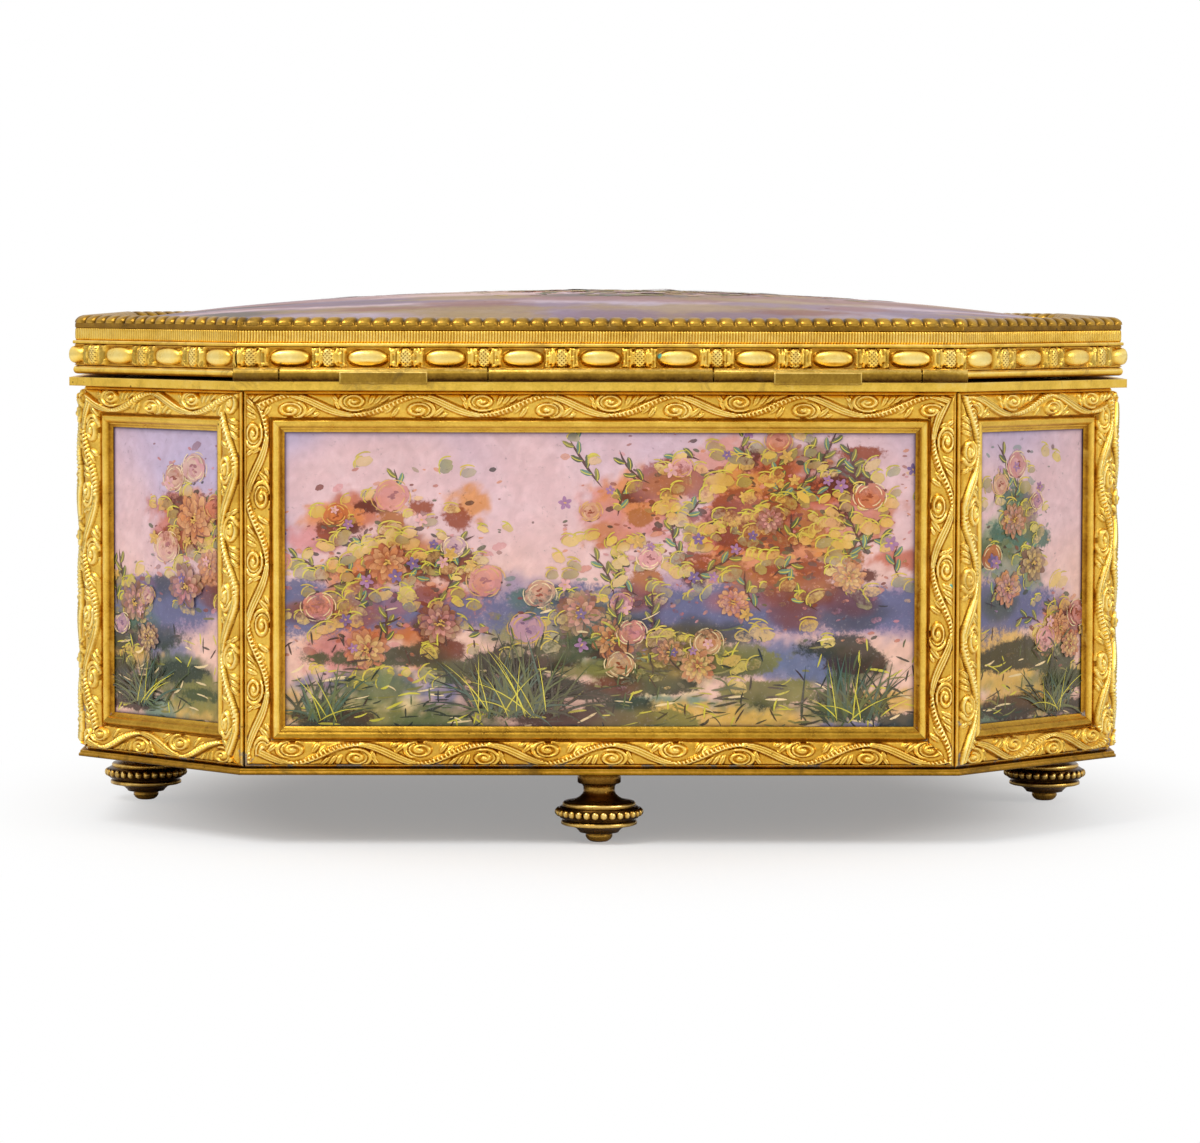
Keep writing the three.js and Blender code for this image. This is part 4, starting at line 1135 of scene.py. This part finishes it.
def shrub_strokes(p, x, z, wide, high, warm):
    """Twigs, loose dabs, outlined leaves and flowers over a shrub's washes."""
    area, paints = wide * high, WARM if warm else COOL

    def scatter(spread):
        at = np.clip(p.random.normal(0, spread, 2), -1.0, 1.0)
        return x + at[0] * wide, z + at[1] * high

    for _ in range(int(area * 0.4)):
        p.dab(*scatter(0.46), p.near(0.5, 1.5), p.one_of(*paints, paints[0] * 0.6), body=0.6)
    for _ in range(int(area * 0.22)):
        p.dab(*scatter(0.42), p.near(0.7, 2.2), p.one_of(RUST, BARK, DEEP * 0.8, MOSS * 0.8), body=0.8)
    for _ in range(int(area * 0.12)):
        p.dab(*scatter(0.5), p.near(1.5, 3.0), p.one_of(*paints, OCHRE, OLIVE), body=0.5)
    for _ in range(int(area / 42)):
        p.sprig(*scatter(0.42), p.near(0.3, 2.8), p.near(7, 14), p.random.normal(0, 0.8),
                [MOSS, OLIVE, TEAL])
    for _ in range(int(area / 9)):
        fill = p.one_of(blend(LIME, OCHRE, 0.5), OLIVE, blend(OLIVE, TEAL, 0.5), blend(OCHRE, LIME, 0.3),
                        OCHRE)
        p.leaf_cluster(*scatter(0.5), p.near(2.2, 4.2), fill, blend(LIME, OCHRE, p.near(0.0, 0.5)))
    for number, (u, v) in enumerate(FLOWER_HEADS[:3 + int(area / 60)]):
        at_x, at_z = x + u * wide + p.near(-1, 1), z + v * high + p.near(-1, 1)
        radius = p.near(3.4, 6.4)
        if number % 3 == 0:
            p.bloom(at_x, at_z, radius, p.one_of(RUSSET, ORANGE, RUST), p.one_of(ORANGE, OCHRE, ROSE),
                    OCHRE)
        else:
            p.rose(at_x, at_z, radius * 0.8, p.one_of(RUSSET, ROSE, MAUVE), p.one_of(BLOSSOM, CREAM, ORANGE),
                   p.one_of(CREAM, OCHRE))
    for _ in range(int(area / 45)):
        p.small_flower(*scatter(0.55), p.near(1.0, 1.8), p.one_of(VIOLET, BLOSSOM, MAUVE, OCHRE))


def side_plaque(length, seed, shrubs, tufts):
    """A painted plaque in a panel's own place: X along it, -Y outwards."""
    half_x = length / 2 - FRAME_WIDTH + PLAQUE_LAP
    half_z = PANEL_HEIGHT / 2 - FRAME_WIDTH + PLAQUE_LAP
    painting = Painting(half_x, 2 * half_z, SIDE_STEP, seed)
    paint_garden(painting, shrubs, tufts)

    def surface(x, z, lift):
        rise = PLAQUE_CROWN * (1 - (x / half_x) ** 2) * (1 - (z / half_z - 1) ** 2)
        return np.column_stack([x, PLAQUE_FRONT - rise - lift, z + PANEL_HEIGHT / 2 - half_z])

    plaque = painting.base_mesh(surface, PLAQUE_FRONT + PLAQUE_THICKNESS)
    return merged([plaque, painting.stroke_mesh(surface)])


# For each panel: shrubs as middle, half sizes and whether in warm paints; then grass tufts.
GARDENS = [
    ([(-6, 26, 18, 9, False), (36, 47, 44, 26, True), (-50, 36, 27, 24, True), (14, 18, 18, 8, False)],
     [(-20, 4, 12, 18, 150), (58, 3, 10, 14, 90), (-64, 3, 6, 12, 50)]),
    ([(-7, 46, 13, 19, False), (10, 22, 10, 9, True)], [(8, 3, 6, 12, 60)]),
    ([(-22, 42, 24, 22, True), (30, 24, 16, 12, False)], [(8, 3, 8, 13, 80)]),
    ([(8, 40, 13, 20, True), (-10, 20, 9, 8, False)], [(-9, 3, 5, 11, 50)]),
    ([(-30, 44, 36, 25, True), (46, 26, 24, 15, False)], [(8, 3, 10, 15, 120), (64, 2, 7, 11, 50)]),
    ([(-6, 38, 14, 20, False), (11, 18, 8, 7, True)], [(10, 3, 5, 12, 50)]),
    ([(24, 44, 22, 22, True), (-28, 22, 18, 12, False)], [(-4, 3, 8, 13, 80)]),
    ([(9, 46, 14, 19, True), (-11, 26, 9, 13, False)], [(-8, 4, 6, 13, 60)]),
]


def add_side_plaques():
    for index, (x, y, length, turn) in enumerate(sides(PANEL_INSET)):
        mesh = on_side(side_plaque(length, SIDE_SEED + index, *GARDENS[index]), x, y, turn)
        side = SIDE_NAMES[index]
        piece(f"painted_plaque_{side}", mesh, enamel, "base", f"plaque_{side}")


def dome_height(x, y):
    """The lid's swelling, level at the octagon's edge."""
    u, v = np.abs(x) / DOME_HALF_X, np.abs(y) / DOME_HALF_Y
    share = np.maximum.reduce([u, v, (np.abs(x) + np.abs(y)) / DOME_REACH])
    pillow = (1 - np.minimum(1, u) ** 2) * (1 - np.minimum(1, v) ** 2)
    return DOME_RISE * (1 - np.minimum(share, 1.0) ** 12) * pillow


def add_lid_plaque():
    """The domed plaque; its picture stands upright for someone at the lock side."""
    p = Painting(DOME_HALF_X, 2 * DOME_HALF_Y, LID_STEP, LID_SEED)
    p.wash(0, p.height, 170, 24, blend(OCHRE, MAUVE, 0.5) * 0.62, 0.6, 0.3)
    for _ in range(80):
        p.wash(p.near(-p.half_x, p.half_x), p.near(0.5, 1.02) * p.height, p.near(10, 34), p.near(3, 14),
               p.one_of(MAUVE, RUSSET, ROSE, OCHRE, OCHRE, MAUVE, OCHRE, BARK) * 0.52, 0.8, 0.4)
    paint_garden(p, [(-18, 92, 46, 34, True), (58, 60, 30, 26, False), (-74, 56, 24, 24, True)],
                 [(22, 20, 14, 24, 150), (-40, 14, 12, 20, 100)])

    def surface(x, z, lift):
        y = DOME_HALF_Y - z
        return np.column_stack([-x, y, DOME_LEVEL + dome_height(x, y) + lift])

    plaque = p.base_mesh(surface, DOME_BOTTOM, corners=True)
    mesh = merged([plaque, p.stroke_mesh(surface, corners=True)])
    piece("painted_lid", mesh, lid_enamel, "lid", "lid_plaque")


# Feet

FOOT_PROFILE = [
    (0.0, 0.0), (1.6, 0.0), (2.1, 0.12), (2.75, 0.6), (3.1, 1.2), (3.1, 1.75), (2.9, 2.05), (3.3, 2.15),
    (4.5, 2.2), (4.7, 2.5), (5.4, 3.2), (6.7, 3.75), (8.3, 3.95), (8.75, 4.15), (8.8, 4.6), (8.6, 5.0),
    (8.1, 5.15), (8.1, 5.5), (9.0, 5.6), (9.35, 6.0), (9.35, 7.9), (8.9, 8.25), (8.3, 8.3),
    (8.45, 8.5), (8.45, 9.0), (8.1, 9.35), (7.0, 9.55), (5.6, 9.85), (4.6, 10.4), (3.9, 11.1),
    (3.6, 11.9), (3.65, 12.8), (4.0, 13.35), (4.8, 13.6), (5.0, 13.8), (5.0, 16.0), (4.8, 16.2),
    (2.0, 16.2), (2.0, 20.5), (0.0, 20.5)]
# Tone at each height of a foot: rims lighter, partly rubbed and partly a painted highlight; painted shade on
# the undersides and in the hollows.
FOOT_TONES = [
    (0.0, 0.40), (0.8, 0.62), (1.6, 0.60), (2.0, 0.20), (2.3, 0.10), (3.0, 0.30), (3.9, 0.36), (4.2, 0.80),
    (4.7, 0.85), (5.1, 0.15), (5.7, 0.10), (8.2, 0.10), (8.6, 0.80), (9.0, 0.85), (9.4, 0.20), (10.4, 0.24),
    (11.5, 0.30), (12.8, 0.58), (13.4, 0.50), (13.7, 0.15), (14.6, 0.60), (16.0, 0.50)]
BEAD_COUNT, BEAD_RING, BEAD_LEVEL, BEAD_RADIUS = 30, 9.3, 6.95, 0.98


def foot_mesh():
    bm = bmesh.new()
    ring = [bm.verts.new((radius, 0.0, height)) for radius, height in FOOT_PROFILE]
    wires = [bm.edges.new(pair) for pair in zip(ring, ring[1:])]
    bmesh.ops.spin(bm, geom=ring + wires, cent=(0, 0, 0), axis=(0, 0, 1), angle=2 * math.pi, steps=56,
                   use_merge=True)
    weld(bm, 1e-4)
    for index in range(BEAD_COUNT):
        angle = 2 * math.pi * index / BEAD_COUNT
        spot = Matrix.Translation((BEAD_RING * math.cos(angle), BEAD_RING * math.sin(angle), BEAD_LEVEL))
        bmesh.ops.create_uvsphere(bm, u_segments=8, v_segments=6, radius=BEAD_RADIUS, matrix=spot)
    bmesh.ops.recalc_face_normals(bm, faces=bm.faces)
    mesh = closed(bm, "foot")
    mesh.shade_smooth()
    x, y, z = coordinates(mesh).T
    # Painted light: beads dark on their inner side and light on their outer, painted shade and painted
    # highlight.
    on_bead = 0.04 + 0.85 * smooth(np.hypot(x, y), BEAD_RING, BEAD_RING + 0.9)
    tone = np.interp(z, *zip(*FOOT_TONES))
    store(mesh, "relief", np.where(np.abs(z - BEAD_LEVEL) < 1.2, on_bead, tone))
    return mesh


def add_feet():
    shape = foot_mesh()
    reach_x, reach_y = BOX_LENGTH / 2 - FOOT_INSET, BOX_DEPTH / 2 - FOOT_INSET
    places = {"back": (0, -reach_y), "right": (reach_x, 0), "front": (0, reach_y), "left": (-reach_x, 0)}
    for side, (x, y) in places.items():
        mesh = shape.copy()
        mesh.transform(Matrix.Translation((x, y, 0)))
        piece(f"turned_foot_{side}", mesh, foot_bronze, "base", f"foot_{side}")


# Plain metal pieces

# The angle from which an edge counts as keen; the least breadth, in millimetres, of a face that gets an
# inner border, and how wide that border is.
KEEN_ANGLE, BORDER_FROM, BORDER_WIDTH = math.radians(35), 0.9, 0.22


def softened(node, width, material, slot, tone=0.5, rubbed=0.0):
    """A solid's own shape with rounded edges: brighter where they are rubbed; the edges also carry painted
    light, lighter facing up and darker facing down.
    """
    bm = opened(nodes[node].data)
    weld(bm, 1e-6)
    bmesh.ops.dissolve_limit(bm, angle_limit=math.radians(1), verts=bm.verts, edges=bm.edges)
    keen = [edge for edge in bm.edges if edge.is_manifold and edge.calc_face_angle(0.0) > KEEN_ANGLE]
    bmesh.ops.bevel(bm, geom=keen, offset=width * MM, offset_type="OFFSET", segments=2, profile=0.5,
                    affect="EDGES", material=-1, clamp_overlap=True)
    # Steel gets no inner border: it has no rubbed edges, and the staples' eyes leave no room for one.
    broad = [face for face in bm.faces if slot != "lock_steel"
             and 2 * face.calc_area() / face.calc_perimeter() > BORDER_FROM * MM]
    bmesh.ops.inset_individual(bm, faces=broad, thickness=BORDER_WIDTH * MM, use_even_offset=True)
    inner = {vert for face in broad for vert in face.verts}
    # Painted light: edges facing up are lighter and edges facing down darker.
    tones = [tone if vert in inner else tone + rubbed + 0.5 * vert.normal.z for vert in bm.verts]
    mesh = closed(bm, node + "_rounded")
    store(mesh, "relief", np.clip(tones, 0.0, 1.0))
    dress(node + "_rounded", mesh, material, nodes[node]["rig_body"], node)


def paint_boards():
    """The boards under the lining and in the lid are carried over as they are."""
    board = thin_board()
    for node in ("liner_floor", "lid_board"):
        nodes[node].data.materials.clear()
        nodes[node].data.materials.append(board)


# Padded lining

VOXEL, CLOTH_SCALE, CLOTH_FRAMES = 2.8, 10.0, 16
DIAMOND, CHANNEL, BUTTONS_FROM_RIM = 21.0, 14.0, 13.0
PIPING_INSET, PIPING_LEVEL, PIPING_RADIUS = 14.3, 26.0, 1.3
FLOOR_BUTTONS = [(x, y) for x in (-54, -18, 18, 54) for y in (-36, 36)]
FLOOR_BUTTONS += [(x, 0) for x in (-72, -36, 0, 36, 72)]


def baked(made):
    """The mesh that an object's modifiers give; the object itself goes."""
    graph = bpy.context.evaluated_depsgraph_get()
    mesh = bpy.data.meshes.new_from_object(made.evaluated_get(graph))
    bpy.data.objects.remove(made)
    return mesh


def even_faces(node):
    """A soft solid's shape in small even faces, in millimetres."""
    bm = opened(nodes[node].data)
    weld(bm, 1e-6)
    mesh = closed(bm, node + "_fabric")
    mesh.transform(Matrix.Scale(1 / MM, 4))
    voxels = shown("voxels", mesh)
    remesh = voxels.modifiers.new("voxels", "REMESH")
    remesh.mode, remesh.voxel_size = "VOXEL", VOXEL
    return baked(voxels)


def blown_up(mesh, held, slack):
    """Where air pressure takes the points of a closed fabric form that is held along its seams."""
    copy = mesh.copy()
    copy.transform(Matrix.Scale(CLOTH_SCALE * MM, 4))
    fabric = shown("fabric", copy)
    fabric.vertex_groups.new(name="held").add(np.flatnonzero(held).tolist(), 1.0, "REPLACE")
    air = fabric.modifiers.new("air", "CLOTH")
    cloth = air.settings
    cloth.use_pressure, cloth.uniform_pressure_force = True, 4.0
    cloth.mass, cloth.vertex_group_mass = 0.01, "held"
    cloth.shrink_min = -slack
    cloth.tension_stiffness = cloth.compression_stiffness = cloth.shear_stiffness = 2.0
    cloth.bending_stiffness, cloth.quality = 0.02, 2
    cloth.effector_weights.gravity = 0.0
    air.point_cache.frame_start, air.point_cache.frame_end = 1, CLOTH_FRAMES
    for number in range(1, CLOTH_FRAMES + 1):
        bpy.context.scene.frame_set(number)
    blown = coordinates(baked(fabric)) / (CLOTH_SCALE * MM)
    bpy.context.scene.frame_set(1)
    return blown


def padded_form(node, plan, slack):
    """Fabric over wadding in a soft solid's place: drawn in, blown up between its seams, stitched down."""
    mesh = even_faces(node)
    outer = coordinates(mesh)
    normals = np.array([vert.normal for vert in mesh.vertices])
    drawn_in, most, stitch = plan(outer, normals)
    start = outer - normals * drawn_in[:, None]
    move_to(mesh, start)
    push = blown_up(mesh, most < 0.05, slack) - start
    reach = np.linalg.norm(push, axis=1)
    push *= np.minimum(1.0, most / np.maximum(reach, 1e-9))[:, None]
    move_to(mesh, np.clip(start + push - normals * stitch[:, None], outer.min(0), outer.max(0)))
    return finer(mesh)


def bulge(seam, reach):
    """How far fabric swells at a distance from its nearest seam: 0 along it, 1 where it is free."""
    return dome(1 - np.clip((seam - 1.2) / reach, 0.0, 1.0))


def nearest_side(co):
    """Each point's depth in from the octagon's nearest side, its place along it, and the side's length."""
    x, y, rows = co[:, 0], co[:, 1], []
    for middle_x, middle_y, length, turn in sides(0.0):
        depth = (y - middle_y) * math.cos(turn) - (x - middle_x) * math.sin(turn)
        along = (x - middle_x) * math.cos(turn) + (y - middle_y) * math.sin(turn)
        rows.append((depth, along, length - 2 * depth * MITRE))
    rows = np.array(rows)
    return rows[rows[:, 0].argmin(0), :, np.arange(len(x))].T


def add_buttons(mesh, places, radius, face):
    """Covered buttons where the stitches meet, on a cushion's upper or lower face."""
    co = coordinates(mesh)
    bm = opened(mesh)
    for x, y in places:
        near = np.hypot(co[:, 0] - x, co[:, 1] - y) < VOXEL * 1.2
        level = (co[near, 2] * face).max() * face
        spot = Matrix.Translation((x, y, level)) @ Matrix.Diagonal((1, 1, 0.6, 1))
        bmesh.ops.create_uvsphere(bm, u_segments=10, v_segments=6, radius=radius, matrix=spot)
    closed(bm, mesh)


def finer(mesh):
    """One subdivision; where the fabric lies flat, its faces are joined again."""
    form = shown("finer", mesh)
    form.modifiers.new("finer", "SUBSURF").levels = 1
    mesh = baked(form)
    bm, least = opened(mesh), math.radians(0.4)
    flat = [edge for edge in bm.edges if edge.calc_face_angle(1.0) < least]
    bmesh.ops.dissolve_limit(bm, angle_limit=least, verts=bm.verts, edges=flat)
    return closed(bm, mesh)


def add_padded(name, mesh, body, node):
    mesh.shade_smooth()
    piece(name, mesh, lining, body, node)


def add_floor_cushion():
    """A loose cushion with buttons and a twisted piping, its sides drawn in between its corners."""
    buttons = np.array(FLOOR_BUTTONS)

    def plan(co, normals):
        depth, along, length = nearest_side(co)
        button = np.hypot(*(co[:, None, :2] - buttons[None]).transpose(2, 0, 1)).min(1)
        upper, resting = smooth(normals[:, 2], 0.3, 0.8), smooth(-normals[:, 2], 0.3, 0.8)
        waist = 0.3 * (1 - (2 * along / length) ** 2) * smooth(depth, 17, 14)
        seam = np.abs(co[:, 2] - PIPING_LEVEL)
        most = (1 - upper) * 0.8 * smooth(seam, 0.6, 2.5) + upper * 2.0 * bulge(button, 16.0)
        drawn_in = (1.0 + 0.9 * upper + waist) * (1 - resting)
        return drawn_in, most * (1 - resting), upper * 1.8 * np.exp(-(button / 4.5) ** 2)

    mesh = padded_form("floor_pad", plan, 0.08)
    add_buttons(mesh, FLOOR_BUTTONS, 2.3, 1)
    angles = np.linspace(0, 2 * math.pi, 10)
    section = [(PIPING_INSET - PIPING_RADIUS * math.cos(a), PIPING_LEVEL + PIPING_RADIUS * math.sin(a),
                math.cos(a), math.sin(a)) for a in angles]

    def twist(run, row):
        return 0.14 * np.cos(3 * angles[row] + 2 * math.pi * run / 7.0)

    mesh = merged([mesh, ring_mesh("piping", section, 1.2, twist)])
    add_padded("floor_cushion", mesh, "base", "floor_pad")


def add_lid_cushion():
    """A pad quilted in diamonds under the lid's board, with a button at each crossing."""
    steps = range(-9, 10)
    pitch = DIAMOND / math.sqrt(2)
    places = [((i + j) * pitch, (i - j) * pitch) for i in steps for j in steps]
    depths = nearest_side(np.array([(x, y, 0.0) for x, y in places]))[0]
    places = [place for place, depth in zip(places, depths) if depth > BUTTONS_FROM_RIM]

    def plan(co, normals):
        ways = (co[:, 0] + co[:, 1]) / math.sqrt(2), (co[:, 0] - co[:, 1]) / math.sqrt(2)
        seam = np.minimum(*(np.abs((way + DIAMOND / 2) % DIAMOND - DIAMOND / 2) for way in ways))
        lower, resting = smooth(-normals[:, 2], 0.3, 0.8), smooth(normals[:, 2], 0.3, 0.8)
        inner = smooth(nearest_side(co)[0], 8.5, 10.5)
        most = 2.7 * (1 - resting) * (1 - lower * inner + lower * inner * bulge(seam, 9.0))
        return 2.7 * (1 - resting), most, lower * inner * 0.8 * np.exp(-(seam / 1.8) ** 2)

    mesh = padded_form("lid_pad", plan, 0.3)
    add_buttons(mesh, places, 1.5, -1)
    add_padded("lid_cushion", mesh, "lid", "lid_pad")


def add_wall_lining():
    """Padding round the inside, sewn in upright channels."""
    def plan(co, normals):
        depth, along, length = nearest_side(co)
        pitch = length / np.maximum(1, np.rint(length / CHANNEL))
        seam = np.abs((along + length / 2 + pitch / 2) % pitch - pitch / 2)
        inner = smooth(depth, 10.0, 11.5) * smooth(co[:, 2], 25.0, 31.0)
        return 2.5 * inner, 2.5 * inner * bulge(seam, 6.0), 0.8 * inner * np.exp(-(seam / 1.8) ** 2)

    add_padded("wall_lining", padded_form("liner_wall", plan, 0.10), "base", "liner_wall")


# Camera, light and floor

# The photograph's width, focal length and upward shift, in pixels; the camera's turn and place.
PHOTO_WIDTH, FOCAL_LENGTH, PHOTO_SHIFT = 1200, 4477, -14.7
YAW_PITCH_ROLL = (0.60, -3.58, 0.13)
CAMERA_PLACE = (-0.0107, -1.1125, 0.1303)


def add_camera():
    """The photograph's view, worked out from the corners of the box."""
    yaw, pitch, roll = (math.radians(angle) for angle in YAW_PITCH_ROLL)
    forward = Vector((math.sin(yaw) * math.cos(pitch), math.cos(yaw) * math.cos(pitch), math.sin(pitch)))
    right = Vector((math.cos(yaw), -math.sin(yaw), 0.0))
    up = right.cross(forward)
    tilted_right = right * math.cos(roll) + up * math.sin(roll)
    tilted_up = up * math.cos(roll) - right * math.sin(roll)
    lens = bpy.data.cameras.new("portrait camera")
    lens.sensor_fit, lens.sensor_width, lens.lens = "HORIZONTAL", 36.0, 36.0 * FOCAL_LENGTH / PHOTO_WIDTH
    lens.shift_y = PHOTO_SHIFT / PHOTO_WIDTH
    lens.clip_start, lens.clip_end = 0.01, 50.0
    camera = shown("portrait camera", lens)
    turn = Matrix((tilted_right, tilted_up, -forward)).transposed().to_4x4()
    camera.matrix_world = Matrix.Translation(CAMERA_PLACE) @ turn
    bpy.context.scene.camera = camera
    bpy.context.scene.view_settings.view_transform = "Standard"


def add_lamp(name, place, size, power):
    lamp = bpy.data.lights.new(name, "AREA")
    lamp.shape, lamp.size, lamp.energy = "DISK", size, power
    aim = (Vector((0.0, 0.0, 0.06)) - Vector(place)).to_track_quat("-Z", "Y")
    shown(name, lamp).matrix_world = Matrix.Translation(place) @ aim.to_matrix().to_4x4()


def add_studio():
    """A white room, lit from above: white to the camera, pale in reflections, softer as a light."""
    world = bpy.data.worlds.new("studio")
    bpy.context.scene.world = world
    world.use_nodes = True
    room = Nodes(world.node_tree)
    path = "ShaderNodeLightPath"
    direct = room.node(path, output="Is Camera Ray") + room.node(path, output="Is Transmission Ray")
    mirrored = room.node(path, output="Is Glossy Ray")
    way = room.node("ShaderNodeTexCoord", output="Generated")
    height = room.node("ShaderNodeSeparateXYZ", None, {"Vector": way}, "Z").between(-0.25, 0.85)
    glow = HORIZON_LEVEL + height * (CEILING_LEVEL - HORIZON_LEVEL)
    level = glow * (mirrored + (1.0 - mirrored) * ROOM_LEVEL)
    level = direct + (1.0 - direct) * level
    background = room.tree.nodes["Background"]
    room.feed(background.inputs["Strength"], level)
    background.inputs["Color"].default_value = (1.0, 1.0, 1.0, 1.0)
    add_lamp("high softbox", (-0.7, -0.9, 1.5), 0.9, 17.0)
    add_lamp("side softbox", (1.5, -0.9, 0.8), 0.8, 7.0)


def add_floor():
    bm = bmesh.new()
    bmesh.ops.create_grid(bm, x_segments=2, y_segments=2, size=4.0)
    floor = shown("floor", closed(bm, "floor"))
    floor.data.materials.append(white_floor())


def white_floor():
    """Pale paper that keeps the shadow near the box and runs into the white room further out."""
    f = Finish("white floor")
    grain = f.noise(6.0)
    f.end(Base_Color=f.mix(grain, (0.95, 0.95, 0.95), (0.92, 0.92, 0.92)), Roughness=0.8)
    reach = f.node("ShaderNodeVectorMath", {"operation": "LENGTH"}, {0: f.stretch(1.12, 0.85, 1.0)}, "Value")
    reach = SHADOW_LIFT + reach.between(0.085, 0.19) * (1.0 - SHADOW_LIFT)
    seen = f.node("ShaderNodeLightPath", output="Is Camera Ray")
    glow = f.node("ShaderNodeEmission", None, {"Color": (1.0, 1.0, 1.0), "Strength": 1.0})
    plain = Wire(f, f.shader.outputs[0])
    blended = f.node("ShaderNodeMixShader", None, {0: reach * seen, 1: plain, 2: glow})
    f.tree.links.new(blended.socket, f.tree.nodes["Material Output"].inputs["Surface"])
    return f.material


enamel = painted_enamel("painted enamel", 0.25, 0.0)
# The lid's enamel is darkened by a share of 0.3: a painted shade, as its top takes more of the light than
# the sides.
lid_enamel = painted_enamel("painted enamel of the lid", 0.06, 0.3)
steel, lining = lock_steel(), velvet()
paint_boards()
add_frames()
add_side_plaques()
add_lid_plaque()
add_egg_gallery()
add_reeded_band()
add_lobed_rim()
add_feet()
for node in ["body_flange", "lid_fillet", "lid_lower_moulding", "lid_frame", "key_escutcheon"]:
    softened(node, 0.22, flange_gold, "worn_brass", 0.64)
for node in ["hinge_body_leaf", "hinge_lid_leaf", "hinge_pin"]:
    softened(node, 0.22, hinge_brass, "worn_brass", 0.46)
for node in ["hinge_stop_left", "hinge_stop_right"]:
    softened(node, 0.25, hinge_brass, "worn_brass", 0.56, 0.25)
# The base plate takes the darkened brass: painted shade.
softened("base_plate", 0.2, shaded_base_brass, "worn_brass", 0.50)
foot_nuts = [f"foot_nut_{side}" for side in SIDE_NAMES[::2]]
for node in ["lock_case", "lock_bolt", "lock_link_plate", *foot_nuts]:
    softened(node, 0.2, steel, "lock_steel")
add_floor_cushion()
add_lid_cushion()
add_wall_lining()
add_floor()
add_studio()
add_camera()
